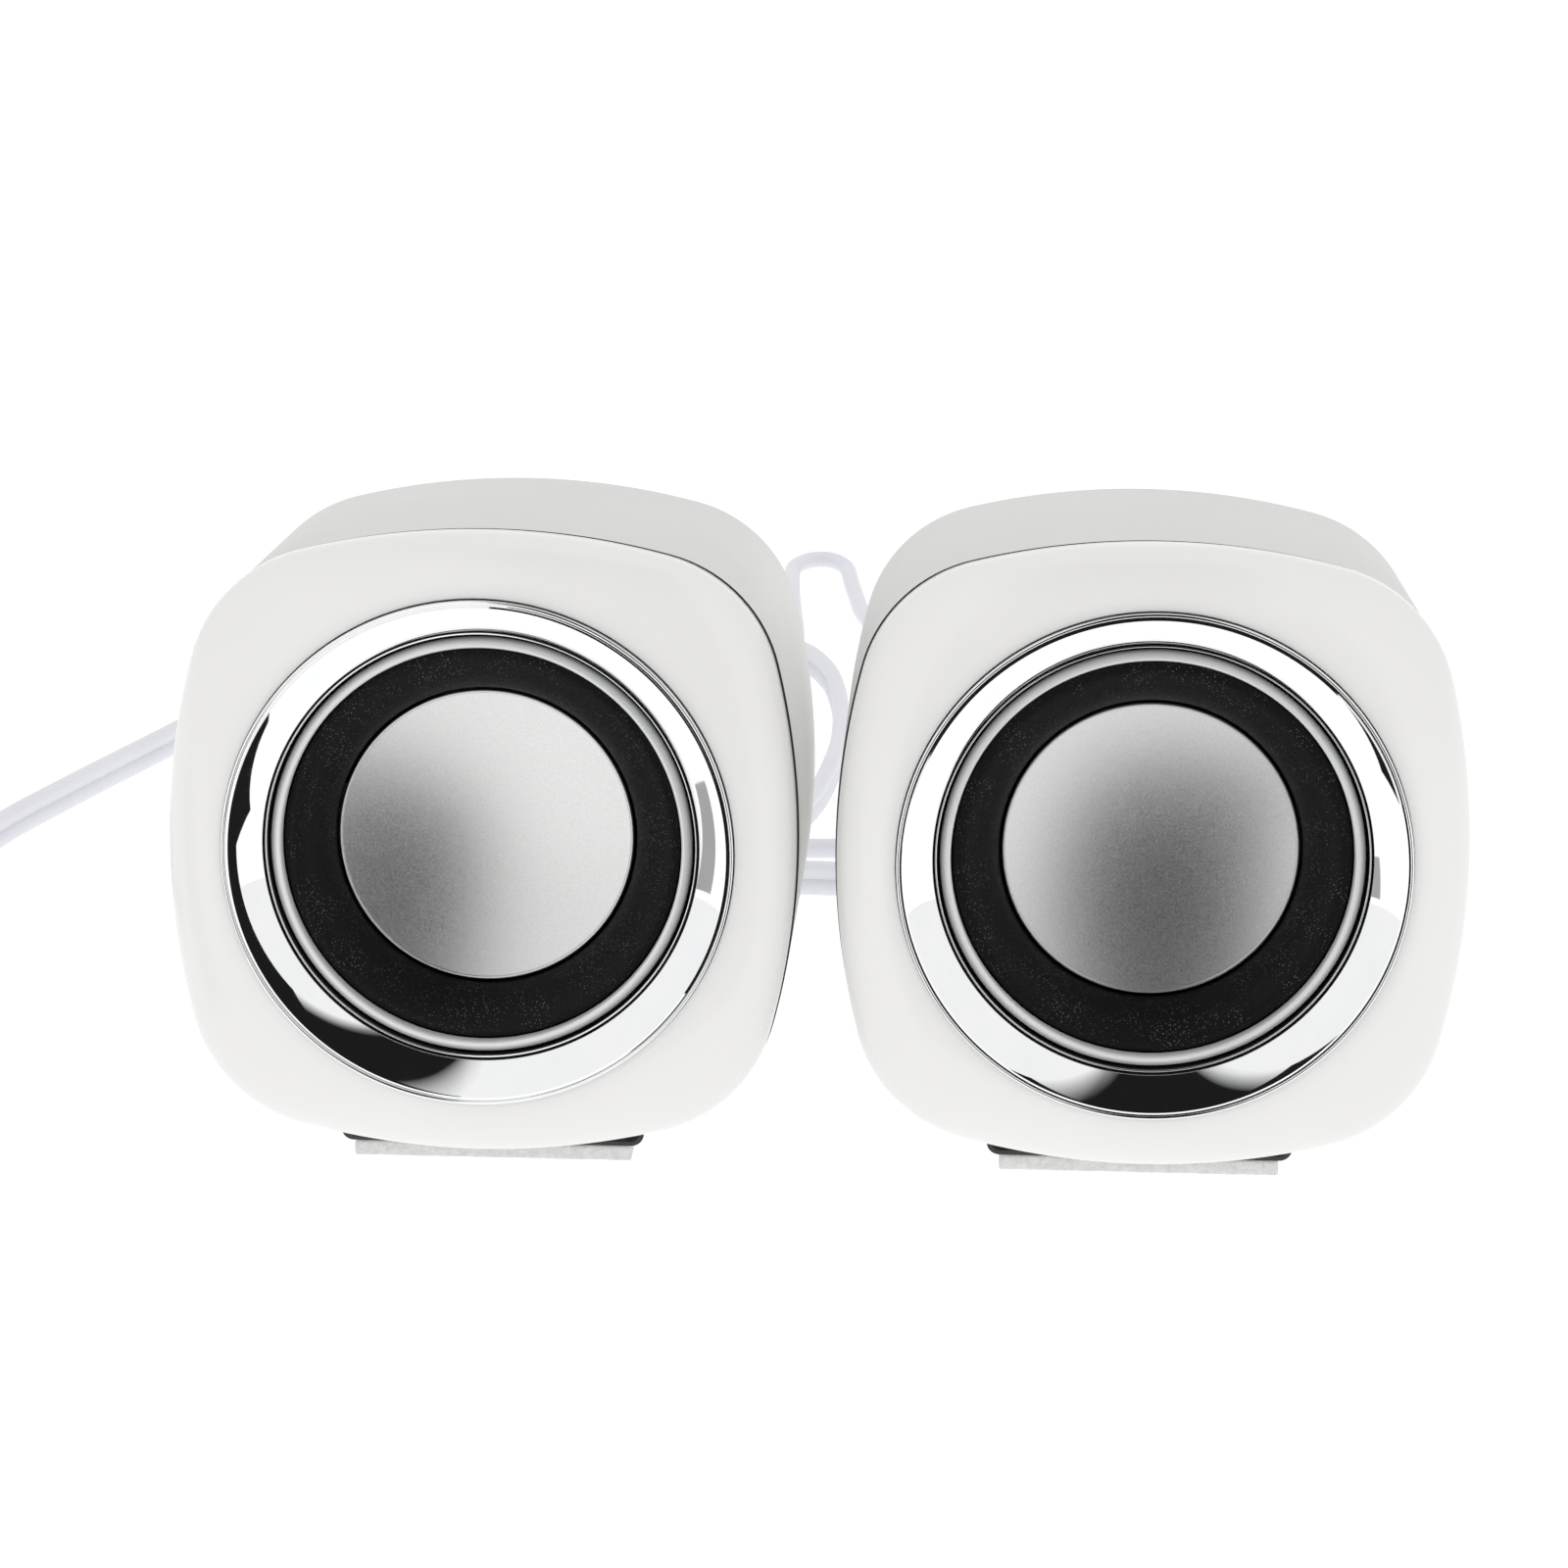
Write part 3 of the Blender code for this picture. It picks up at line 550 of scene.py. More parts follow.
def square_radius(angle, inset=0):
    """The distance from the centre to the bulged square's edge in one direction."""
    angle = abs((angle + pi / 4) % (pi / 2) - pi / 4)
    centre = corner_offset()
    side = HALF - SIDE_RADIUS
    meets = atan2(centre, centre - side)
    reach = SIDE_RADIUS - inset
    edge = atan2(reach * sin(meets), side + reach * cos(meets))
    if angle <= edge:
        along = side * cos(angle)
        return along + sqrt(reach**2 - side**2 + along**2)
    reach = CORNER_RADIUS - inset
    along = centre * (cos(angle) + sin(angle))
    return along + sqrt(reach**2 - 2 * centre**2 + along**2)


def outline(y, inset=0, square=1, radius=HOLE_RADIUS, widen=0, scale=1):
    """A ring of points at one depth: a circle at square 0, and the bulged square at square 1."""
    points = []
    wide, low = (1 + widen / HALF) * scale, (1 - widen / HALF) * scale
    for k in range(OUTLINE_POINTS):
        angle = tau * (k + 0.5) / OUTLINE_POINTS
        reach = radius
        if square > 0:
            reach = radius * (1 - square) + square_radius(angle, inset) * square
        points.append((reach * cos(angle) * wide, y, reach * sin(angle) * low))
    return points


# ---- speaker pieces


def bezel_mesh():
    """The domed front: lip at the hole, dome, side wall, rounded seam edge, tongue and inside."""
    edge_y, full_y, lip = 1, 7, 0.16
    hole = HOLE_RADIUS - 0.08
    rings = [outline(8, square=0, radius=hole)]
    for radius, y in arc((hole + lip, edge_y + lip), lip, 180, 262, 5):
        rings.append(outline(y, square=0, radius=radius))
    steps = 30
    for step in range(1, steps + 1):
        turn = radians(90 * step / steps)
        depth = full_y - (full_y - edge_y) * cos(turn)
        rings.append(outline(depth, square=sin(turn), radius=hole + lip * 0.6))
    soft = 0.15
    for inset, y in arc((soft, SEAM - soft), soft, 180, 90, 4):
        rings.append(outline(y, inset=inset))
    rings += [outline(SEAM, inset=1.5), outline(SEAM + 2, inset=1.5)]
    rings += [outline(SEAM + 2, inset=2.8), outline(7.5, inset=2.8)]
    rings += [outline(4.4, inset=2.8, square=0.75, radius=31)]
    rings += [outline(3.2, inset=2.8, square=0.2, radius=31)]
    rings += [outline(3.4, square=0, radius=31), outline(8, square=0, radius=31)]
    return lofted(rings, around=True)


def darken(mesh, chosen):
    """Gives the chosen faces the black finish. Inside a gap between parts this is painted shade, so the gap reads
    as a thin dark line; on the jack pin it is the black of its real insulating rings.
    """
    mesh.materials.append(FINISHES["black_plastic"])
    for face in mesh.polygons:
        x, y, z = face.center / MM
        if chosen(hypot(x, z), y):
            face.material_index = 1


def cabinet_mesh(shift):
    """The shell: rounded front edge, long side, rounded back, flat rear face, and the inside.

    Its front edge sits a little to one side of the bezel's.
    """
    start, flat, soft = SEAM + SEAM_GAP, DEPTH - REAR_ROUND, 0.12
    rings = []
    for inset, y in arc((soft, start + soft), soft, 270, 180, 4):
        rings.append([(px + shift, py, pz) for px, py, pz in outline(y, inset=inset)])
    for share in (0.25, 0.5, 0.75, 1):
        ring = outline(start + (flat - start) * share, widen=REAR_WIDEN * share)
        rings.append([(px + shift * (1 - share), py, pz) for px, py, pz in ring])
    for step in range(1, 17):
        turn = radians(90 * step / 16)
        inset = REAR_ROUND * (1 - cos(turn))
        rings.append(outline(flat + REAR_ROUND * sin(turn), inset=inset, widen=REAR_WIDEN))
    outer = [*rings, outline(DEPTH, inset=REAR_ROUND, widen=REAR_WIDEN, scale=0.9)]
    inner = [outline(DEPTH - WALL, inset=REAR_ROUND, widen=REAR_WIDEN)]
    inner += [outline(flat, inset=WALL, widen=REAR_WIDEN), outline(SEAM + 2.4, inset=WALL)]
    inner += [outline(SEAM + 2.4, inset=1.2), outline(start, inset=1.2)]
    work = bmesh.new()
    rows = [[work.verts.new(point) for point in ring] for ring in outer + inner]
    back = len(outer)
    for index in range(len(rows) - 1):
        if index != back - 1:
            join_rows(work, rows[index], rows[index + 1])
    join_rows(work, rows[-1], rows[0])
    work.faces.new(rows[back - 1])
    work.faces.new(rows[back])
    return closed_mesh(work)


def to_frame(y, z):
    """A depth and height over the table, as a depth and height in a speaker's leaning frame."""
    height = z - CENTRE_HEIGHT
    return (
        y * cos(LEAN) - height * sin(LEAN),
        y * sin(LEAN) + height * cos(LEAN),
    )


def wedge(half, under, soft, top, start, end):
    """A prism that leans with the speaker, with rounded lower edges and its underside level."""
    lower = arc((half - soft, under + soft), soft, 0, -90, 8)
    lower += [(-x, z) for x, z in reversed(lower)]
    rings = []
    for y in (start, end):
        depth = to_frame(y, under)[0]
        rings.append([*[(x, *to_frame(y, z)) for x, z in lower], (-half, depth, top), (half, depth, top)])
    return lofted(rings)


def plinth_mesh(side):
    """The wedge under the cabinet, with a shallow recess in its front face whose inner faces are painted dark as
    shade.
    """
    half, length = PLINTH_SIZE
    half, under, lip = half / 2, PAD_SIZE[2] + GAP, 0.5
    soft, top, recess_top, deep = 1.5, -33.2, -34.5, 6
    wedge_mesh = wedge(half, under, soft, top, PLINTH_FRONT, PLINTH_FRONT + length)
    plinth = add_piece("plinth", wedge_mesh, "matte_white", SPEAKER[side])
    cut = wedge(half - lip, under + lip, 1.1, recess_top, PLINTH_FRONT - 2, PLINTH_FRONT + deep)
    combine(plinth, cut, "DIFFERENCE", SPEAKER[side])
    floor = to_frame(PLINTH_FRONT, under + 0.4)[1]
    # Painted shade: the recess faces get a dark finish, mid-dark grey on the left and black on the right, for the
    # different shade on the two sides.
    plinth.data.materials.append(FINISHES["ferrite" if side == "left" else "black_plastic"])
    for face in plinth.data.polygons:
        x, y, z = face.center / MM
        if abs(x) < half - 0.4 and PLINTH_FRONT < y < PLINTH_FRONT + deep + 0.5 and z > floor:
            face.material_index = 1
    mesh = plinth.data
    bpy.data.objects.remove(plinth)
    return mesh


def make_cabinet(side, exits):
    """The shell with its plinth, lead holes and screw seats."""
    place = SPEAKER[side]
    shift = SHELL_SHIFT if side == "left" else -SHELL_SHIFT
    piece = add_piece(f"{side}_cabinet_shell", cabinet_mesh(shift), "matte_white", place)
    # Painted shade: the shell's front lip at the seam gets the black finish, for the shade inside the seam.
    darken(piece.data, lambda r, y: y < SEAM + SEAM_GAP + 0.06)
    combine(piece, plinth_mesh(side), "UNION", place)
    start, end = DEPTH - 5, DEPTH + 1
    hole = [(0, start), (3, start), (3, DEPTH - 0.3), (3.3, DEPTH + 0.1), (3.3, end), (0, end)]
    seat = [(0, start), (1.6, start), (1.6, DEPTH - 1), (3, DEPTH - 1), (3, DEPTH - 0.2)]
    seat += [(3.25, DEPTH + 0.1), (3.25, end), (0, end)]
    for profile, places in ((hole, exits), (seat, REAR_SCREWS)):
        for x, z in places:
            combine(piece, turned(profile, SMALL_POINTS), "DIFFERENCE", at(place, x, z))
    stand_for(piece, f"{side}_rear_cabinet")


def chrome_profile():
    """Outer wall, rolled lip, fine step, the convex funnel and the bead at its inner edge."""
    lip = 0.2
    outer = RING_RADIUS + 0.1
    profile = [(outer, 7.6), (outer, 3)]
    profile += arc((outer - lip, lip), lip, 0, -180, 10)
    profile += [(28.68, 0.5), (28.56, 0.5), (28.5, 0.14)]
    for step in range(FUNNEL_STEPS + 1):
        share = step / FUNNEL_STEPS
        depth = FUNNEL_DEPTH * (0.75 * share + 0.25 * share**2)
        profile.append((FUNNEL_OUTER + (FUNNEL_INNER - FUNNEL_OUTER) * share, 0.1 + depth))
    edge = FUNNEL_DEPTH + 0.1
    profile += [(FUNNEL_INNER - 0.03, edge + 0.04), (FUNNEL_INNER - 0.04, edge + 1.4), (24.8, edge + 1.4)]
    bead = 0.13
    profile += arc((24.67, edge + 0.4), bead, 0, -180, 8)
    profile += [(24.54, 6.9), (25.6, 6.9), (26.4, 6), (28.2, 3), (28.2, 7.6)]
    return profile


def polish_funnel(mesh):
    """Shades the funnel as a gentle roll, from nearly flat outside to steeper inside."""
    normals = [(0, 0, 0)] * len(mesh.loops)
    for face in mesh.polygons:
        points = [mesh.vertices[index].co / MM for index in face.vertices]
        radii = [hypot(point.x, point.z) for point in points]
        if min(radii) < FUNNEL_INNER - 0.001 or max(radii) > FUNNEL_OUTER + 0.001 or face.normal.y > -0.3:
            continue
        for loop, point, radius in zip(face.loop_indices, points, radii):
            share = (FUNNEL_OUTER - radius) / (FUNNEL_OUTER - FUNNEL_INNER)
            tilt = radians(FUNNEL_TILTS[0] + (FUNNEL_TILTS[1] - FUNNEL_TILTS[0]) * share)
            inward = -sin(tilt) / radius
            normals[loop] = (point.x * inward, -cos(tilt), point.z * inward)
    mesh.normals_split_custom_set(normals)


def trim_profile():
    """A satin band with a rounded crest, higher at its inner edge."""
    outer, inner = 24.2, 22.95
    crest = [(outer, 6, 0), (24.1, 5.65, 0), (23.9, 5.32, 0), (23.6, 5.06, 0), (23.3, 4.96, 0)]
    crest += [(23.1, 5.03, 0), (inner, 5.3, 0)]
    return [(outer, 6.9), *[(p.x, p.y) for p in smooth_line(crest, 4)], (inner, 6.9)]


def surround_profile():
    """The half roll between the trim ring and the cap, with its gasket."""
    middle, half_width, thick = 20.15, 2.75, 0.55
    foot, drop, rise = 7.6, 4.3, 2.6
    outer, inner = [], []
    steps = 28
    for step in range(steps + 1):
        turn = pi * step / steps
        base = foot + drop * (1 - cos(turn)) / 2
        outer.append((middle + half_width * cos(turn), base - rise * sin(turn)))
        reach = half_width - thick
        inner.append((middle + reach * cos(turn), base + thick - (rise - 0.1) * sin(turn)))
    profile = [(25.6, 7.3), (23.2, 7.3), *outer, *reversed(inner)]
    return [*profile, (24.4, 8.4), (24.4, 9.5), (25.6, 9.5)]


def spider_profile():
    """The corrugated cloth that centres the coil."""
    outer = [(7.2 + 7.2 * k / 48, 21 - 0.18 + 0.18 * cos(tau * 3 * k / 48)) for k in range(49)]
    return [*outer, *[(r, y + 0.4) for r, y in reversed(outer)]]


def cap_profile():
    """The satin dish, with a fine rolled rim that catches the light."""
    rim = 0.2
    reach = CAP_RADIUS - 2 * rim
    steps = 36
    rows = [(step / steps * reach, CAP_DISH * (1 - (step / steps) ** 2)) for step in range(steps + 1)]
    front = [(r, CAP_EDGE + dish) for r, dish in rows]
    back = [(r, CAP_EDGE + dish + 0.5) for r, dish in reversed(rows[::6])]
    return [*front, *arc((CAP_RADIUS - rim, CAP_EDGE), rim, -180, 0, 8), (CAP_RADIUS, CAP_EDGE + 0.4), *back]


def flexing(piece, node):
    """Shows a ring in place of its CAD node, with its placement baked into the mesh."""
    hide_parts(node)
    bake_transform(piece)


def screw_mesh(head_y, height):
    """A pan head screw whose head faces +y."""
    head, length = 2.6, 8.3
    profile = [(0, head_y - length), (0.5, head_y - length + 0.4), (1.2, head_y - length + 1.6)]
    pitch = 0.7
    thread = head_y - length + 1.6
    while thread + pitch < head_y - 0.5:
        profile += [(1.2, thread), (0.85, thread + pitch * 0.45), (0.85, thread + pitch * 0.55)]
        thread += pitch
    profile += [(1.1, head_y), (head, head_y)]
    profile += [(r, y) for r, y in arc((head - 0.7, head_y + height - 0.7), 0.7, 0, 80, 6)]
    return turned([*profile, (0, head_y + height + 0.02)], 40)


def block(low, high):
    """An upright box between two corners, as a bmesh."""
    low, high = Vector(low), Vector(high)
    work = bmesh.new()
    bmesh.ops.create_cube(work, size=1)
    bmesh.ops.scale(work, vec=high - low, verts=work.verts)
    bmesh.ops.translate(work, vec=(low + high) / 2, verts=work.verts)
    return work


def make_rear_screws(side):
    """Pan head screws with a cross recess."""
    head_y, height = DEPTH - 0.7, 1.2
    for index, (x, z) in enumerate(REAR_SCREWS, 1):
        place = at(SPEAKER[side], x, z)
        piece = add_piece(f"{side}_pan_screw_{index}", screw_mesh(head_y, height), "steel", place)
        for wide, tall in ((0.35, 1.5), (1.5, 0.35)):
            bar = closed_mesh(block((-wide, head_y + 0.3, -tall), (wide, head_y + 3, tall)))
            combine(piece, bar, "DIFFERENCE", place @ Matrix.Rotation(0.5 * index, 4, "Y"))
        stand_for(piece, f"{side}_rear_screw_{index}")


def make_foam_pad(side):
    """A soft pad with rounded edges, wavy where it was cut."""
    low, high = (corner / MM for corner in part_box(f"{side}_foam_pad"))
    work = block(low, high)
    bmesh.ops.bevel(work, geom=list(work.edges), offset=0.3, segments=3, affect="EDGES", profile=0.5)
    bmesh.ops.subdivide_edges(work, edges=[e for e in work.edges if e.calc_length() > 5], cuts=40,
                              use_grid_fill=True)
    middle, reach = (low.y + high.y) / 2, (high.y - low.y) / 2
    for vertex in work.verts:
        wave = sin(vertex.co.x * 1.9) + sin(vertex.co.x * 0.73 + 1) + sin(vertex.co.z * 4)
        edge = abs(vertex.co.y - middle) / reach
        vertex.co.y -= copysign(0.05 * (wave + 3) * edge**6, vertex.co.y - middle)
    show(f"{side}_foam_foot", f"{side}_foam_pad", "foam", closed_mesh(work), Matrix(), 45)


def make_speaker(side, exits):
    """Every visible piece that both speakers have."""
    place = SPEAKER[side]
    bezel = show(f"{side}_bezel_shell", f"{side}_front_bezel", "gloss_white", bezel_mesh(), place, 40)
    # Painted shade: the faces at and behind the seam get the black finish, so the seam reads as a dark line.
    darken(bezel.data, lambda r, y: y > SEAM - 0.01)
    make_cabinet(side, exits)
    ring = turned(chrome_profile())
    ring = show(f"{side}_mirror_ring", f"{side}_chrome_ring", "chrome", ring, place, 50)
    polish_funnel(ring.data)
    # Painted shade: the faces inside the ring behind the funnel's inner edge get the black finish, for the shade
    # in the groove before the satin ring.
    darken(ring.data, lambda r, y: r < FUNNEL_INNER and y > FUNNEL_DEPTH + 0.7)
    trim = add_piece(f"{side}_satin_ring", turned(trim_profile()), "satin_trim", place, 50)
    # Painted shade: the satin ring's outer wall gets the black finish, for the shade in the same groove.
    darken(trim.data, lambda r, y: r > 24.19)
    stand_for(trim, f"{side}_trim_ring")
    cap, body = turned(cap_profile()), f"{side}_diaphragm"
    show(f"{side}_dished_cap", f"{side}_dust_cap", "satin", cap, place, 50, body)
    roll = add_piece(f"{side}_roll", turned(surround_profile()), "rubber", place, 50)
    flexing(roll, f"{side}_surround")
    cloth = add_piece(f"{side}_spider_cloth", turned(spider_profile()), "cloth", place, 50)
    flexing(cloth, f"{side}_spider")
    make_rear_screws(side)
    make_foam_pad(side)


def make_knob():
    """The volume knob: fine ribs round a dished cap, with a pointer line."""
    ribs, per_rib = 40, 6
    count = ribs * per_rib
    base, top = DEPTH + GAP, DEPTH + KNOB_HEIGHT
    inner = [(2.9, base), (2.9, DEPTH + 6.3)]
    skirt = [(7, base), (7, base + 0.8), (6.85, base + 1)]
    side = [(6.5, base + 1.4), (6.45, base + 1.8), (6.3, top - 1.2), (6.2, top - 0.7)]
    crown = [(5.9, top - 0.3), (5.6, top - 0.08), (5.2, top), (4.6, top - 0.15), (2, top - 0.25)]
    work = bmesh.new()
    profile = [*reversed(inner), *skirt, *side, *crown]
    ribbed = set(side[1:3])
    rows = []
    for r, y in profile:
        row = []
        for k in range(count):
            angle = tau * k / count
            depth = 0.18 * max(0, cos(ribs * angle)) if (r, y) in ribbed else 0
            row.append(work.verts.new(((r - depth) * cos(angle), y, (r - depth) * sin(angle))))
        rows.append(row)
    for first, second in zip(rows, rows[1:]):
        join_rows(work, first, second)
    close_end(work, rows[0], DEPTH + 6.3)
    close_end(work, rows[-1], top - 0.25)
    place = at(SPEAKER["right"], *KNOB_PLACE)
    piece = add_piece("right_ribbed_knob", closed_mesh(work), "gloss_white", place)
    mark = block((-0.35, top - 0.6, 2.4), (0.35, top + 1, 5.9))
    combine(piece, closed_mesh(mark), "DIFFERENCE", place)
    stand_for(piece, "right_volume_knob", "volume_control")


def make_grommet(side, kind, place, lead_width):
    """A ribbed strain relief that tapers towards its lead."""
    tip = lead_width / 2 + 0.5
    wall = DEPTH - WALL
    profile = [(0, wall - 1.6), (3.6, wall - 1.6), (3.6, wall - GAP), (2.7, wall - GAP)]
    profile += [(2.7, DEPTH + GAP), (3.75, DEPTH + GAP), (3.9, DEPTH + 0.5), (3.9, DEPTH + 1.4)]
    profile += [(3.75, DEPTH + 1.6)]
    start, ribs = DEPTH + 1.8, 5
    pitch = (GROMMET_END - start) / ribs
    for k in range(ribs):
        y = start + pitch * k
        wide = 3.3 + (tip - 3.3) * k / (ribs - 1)
        profile += [(wide - 0.1, y), (wide, y + 0.15), (wide, y + pitch * 0.5)]
        profile += [(wide - 0.1, y + pitch * 0.6)]
        profile += [(wide - 0.5, y + pitch * 0.68), (wide - 0.5, y + pitch * 0.92)]
    profile += [(0, GROMMET_END)]
    mesh, frame_here = turned(profile, SMALL_POINTS), at(SPEAKER[side], *place)
    show(f"{side}_{kind}_relief", f"{side}_{kind}_grommet", "lead", mesh, frame_here, 45)


# ---- leads

MAIN_ROUTE = [
    (26.3, 88.5, 14.3), (26, 97, 11.4), (23.5, 107, 6.4), (18, 116, 3.3), (9, 121.5, 2.6),
    (-2, 123.2, 2.6), (-14, 123.2, 2.6), (-23.8, 127.3, 2.6), (-27.9, 137.1, 2.6), (-23.8, 146.9, 2.6),
    (-14.5, 151, 2.6), (-7.6, 154.6, 2.6), (-5, 163, 2.6), (-3.5, 175, 2.6), (-2.4, 190, 2.6),
    (-2.3, 205, 2.6), (-2.9, 218, 3.2), (-4.9, 229, 4.6), (-9, 237, 5.8), (-15.5, 241.5, 6.2),
    (-25, 244, 5.6), (-40, 247, 3.2), (-58, 248, 2.6), (-76, 241, 2.6), (-91, 225, 2.6),
    (-102, 203, 2.6), (-110, 180, 2.6), (-117, 159, 2.6), (-122.5, 141, 2.6), (-124.2, 130, 2.6),
    (-124.4, 122, 2.6),
]
LINK_ROUTE = [
    (48.3, 88.5, 14.3), (48, 98, 10.8), (44.5, 108, 5.8), (36, 118, 2.2), (24, 125, 1.6),
    (10, 128.4, 1.6), (-2, 128.5, 1.6), (-11.5, 128.5, 1.6), (-17.8, 134.8, 1.6), (-11.5, 141.1, 1.6),
    (-4, 141.2, 1.6), (4, 142.6, 1.6), (12.5, 147.5, 1.6), (19, 159, 1.6), (21.5, 185, 1.6),
    (18, 222, 1.6), (10.5, 250, 1.6), (3.6, 270, 1.6), (-0.3, 284, 1.6), (-2.2, 299, 1.6),
    (-3.4, 311, 1.6), (-4.3, 320, 1.6), (-6.3, 325.8, 1.6), (-9.2, 328, 1.6), (-12.1, 325.8, 1.6),
    (-14.1, 320, 1.6), (-14.1, 311, 1.6), (-13.6, 299, 1.6), (-12.8, 286, 1.6), (-11.9, 272, 1.6),
    (-11.7, 258, 1.6), (-13.4, 242, 1.6), (-18.5, 225, 1.6), (-28, 196, 1.6), (-37, 160, 1.6),
    (-40, 126, 2.2), (-38.8, 110, 6), (-38.3, 98, 11), (-38.3, 88.5, 14.3),
]
TO_SPLITTER = [(-170, 129.4, 2.6), (-163.6, 129.3, 2.6), (-159.2, 124.8, 2.6), (-158, 118.6, 2.6)]


def exit_point(side, place):
    """Where a lead starts, just past its grommet, in the table's frame."""
    local = Vector((place[0], GROMMET_END + GAP, place[1])) * MM
    return (TABLE.inverted() @ SPEAKER[side] @ local) / MM


def coil_points():
    """The coiled length: it eases in from the free stretch, winds clockwise and draws inward."""
    start_x, start_y = MAIN_ROUTE[-1][0] - COIL_CENTRE[0], MAIN_ROUTE[-1][1] - COIL_CENTRE[1]
    first = atan2(start_y, start_x)
    extra = hypot(start_x, start_y) - COIL_RADIUS
    per_turn = 36
    points = []
    for step in range(1, round(COIL_TURNS * per_turn) + 1):
        turned_by = step / per_turn
        angle = first - tau * turned_by
        ease = max(0, 1 - turned_by * 6)
        radius = COIL_RADIUS - COIL_PITCH * turned_by + extra * ease * ease * (3 - 2 * ease)
        x = COIL_CENTRE[0] + radius * cos(angle)
        points.append((x, COIL_CENTRE[1] + radius * sin(angle), MAIN_ROUTE[-1][2]))
    return points


def twin_section():
    """The figure-of-eight outline of the flat lead, as (across, up) points in millimetres."""
    core = TWIN_THICK / 2
    rise = TWIN_WIDTH / 2 - core
    points = []
    for centre, start in ((rise, -62), (-rise, 118)):
        for step in range(13):
            angle = radians(start + 20 * step)
            points.append((core * cos(angle), centre + core * sin(angle)))
    return points


def swept(path, section):
    """A section swept along a path, with its long side kept upright."""
    rings = []
    for k, point in enumerate(path):
        ahead = path[min(k + 1, len(path) - 1)] - path[max(k - 1, 0)]
        across = ahead.cross(Vector((0, 0, 1))).normalized()
        up = across.cross(ahead).normalized()
        rings.append([point + across * a + up * b for a, b in section])
    return lofted(rings)


def tube(name, path, width):
    """A round lead as a curve along a path."""
    curve = bpy.data.curves.new(name, "CURVE")
    curve.dimensions = "3D"
    curve.bevel_depth = width / 2 * MM
    curve.bevel_resolution = 6
    curve.use_fill_caps = True
    line = curve.splines.new("POLY")
    line.points.add(len(path) - 1)
    for made, point in zip(line.points, path):
        made.co = (*(TABLE @ (point * MM)), 1)
    line.use_smooth = True
    curve.materials.append(FINISHES["lead"])
    return new_object(name, curve)


def make_tie():
    """A twist tie round the coil's turns, with its twisted ends folded inward over the coil."""
    middle, half, centre = COIL_RADIUS - 4.35, TIE_WIDTH / 2, (TIE_TOP + TIE_UNDER) / 2
    reach = TIE_TOP - centre
    outer = rounded_section(4.5, reach, 1.2, middle, centre)
    inner = rounded_section(4.5 - TIE_THICK, reach - TIE_THICK, 0.9, middle, centre)
    rings = []
    for (a, b), (c, d) in zip(inner, outer):
        rings.append([(a, -half, b), (a, half, b), (c, half, d), (c, -half, d)])
    place = TABLE @ Matrix.Translation(Vector((*COIL_CENTRE, 0)) * MM) @ Matrix.Rotation(TIE_TURN, 4, "Z")
    band = add_piece("coil_tie_band", lofted(rings, around=True), "lead", place)
    twists = []
    for step in range(41):
        twist = Matrix.Rotation(0.35 * step, 2)
        angles = [tau * k / 12 for k in range(12)]
        flat = [twist @ Vector((cos(angle), 0.45 * sin(angle))) for angle in angles]
        twists.append([(middle - 1.5 - 0.28 * step, u, TIE_TOP + 0.75 + v) for u, v in flat])
    ends = add_piece("coil_tie_ends", lofted(twists), "lead", place)
    for piece in (band, ends):
        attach(piece, ROOT)
    return [band, ends]


def make_main_lead(splitter):
    """The flat twin lead, standing on its edge, from the right speaker to the splitter in the coil."""
    last = Vector((COIL_CENTRE[0], SPLITTER_Y[0] + GAP, MAIN_ROUTE[-1][2]))
    start = exit_point("right", MAIN_EXIT)
    fine = smooth_line([start, *MAIN_ROUTE, *coil_points(), *TO_SPLITTER, last], 30)
    path = evenly(fine, 1.6)
    mesh = swept(path, twin_section())
    piece = show("main_twin_lead", "main_lead", "lead", mesh, TABLE, 60)
    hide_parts("main_lead_coil")
    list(make_tie())


def make_link_lead():
    """The thin lead between the two speakers."""
    ends = exit_point("right", RIGHT_LINK_EXIT), exit_point("left", LEFT_LINK_EXIT)
    path = evenly(smooth_line([ends[0], *LINK_ROUTE, ends[1]], 40), 1.4)
    piece = stand_for(tube("link_round_lead", path, LINK_WIDTH), "link_lead")


def tail_route(side, plug_x):
    """From the splitter over the coil's near side, down to the table, and up into a plug's back."""
    x, end = COIL_CENTRE[0] + side * 1.9, SPLITTER_Y[1] - GAP
    near = COIL_CENTRE[1] - 22.8
    return [
        (x, end, 2.6), (x, end - 6, 4.6), (x + side * 0.6, near + 2, 7.2), (x + side * 1.5, near - 6, 7.3),
        (x + side * 3.2, near - 13, 5.6), (x + side * 4.5, near - 19, 2.4), (plug_x, PLUG_Y + 8, 2.2),
        (plug_x, PLUG_Y + GAP, PLUG_HEIGHT),
    ]


def make_tail(name, node, side, plug_x):
    """One round tail from the splitter to its plug."""
    path = evenly(smooth_line(tail_route(side, plug_x), 12), 1.2)
    piece = stand_for(tube(name, path, TAIL_WIDTH), node)


def rounded_section(half_x, half_z, corner, x, z):
    """A rectangle with round corners, as (x, z) points."""
    points = []
    for quarter, (sx, sz) in enumerate(((1, 1), (-1, 1), (-1, -1), (1, -1))):
        for step in range(7):
            angle = radians(90 * quarter + 15 * step)
            cx, cz = sx * (half_x - corner), sz * (half_z - corner)
            points.append((x + cx + corner * cos(angle), z + cz + corner * sin(angle)))
    return points


def moulded(x, z, sections):
    """A moulding lofted through (y, half x, half z, corner) sections round one line."""
    rings = [[(px, y, pz) for px, pz in rounded_section(*rest, x, z)] for y, *rest in sections]
    return lofted(rings)


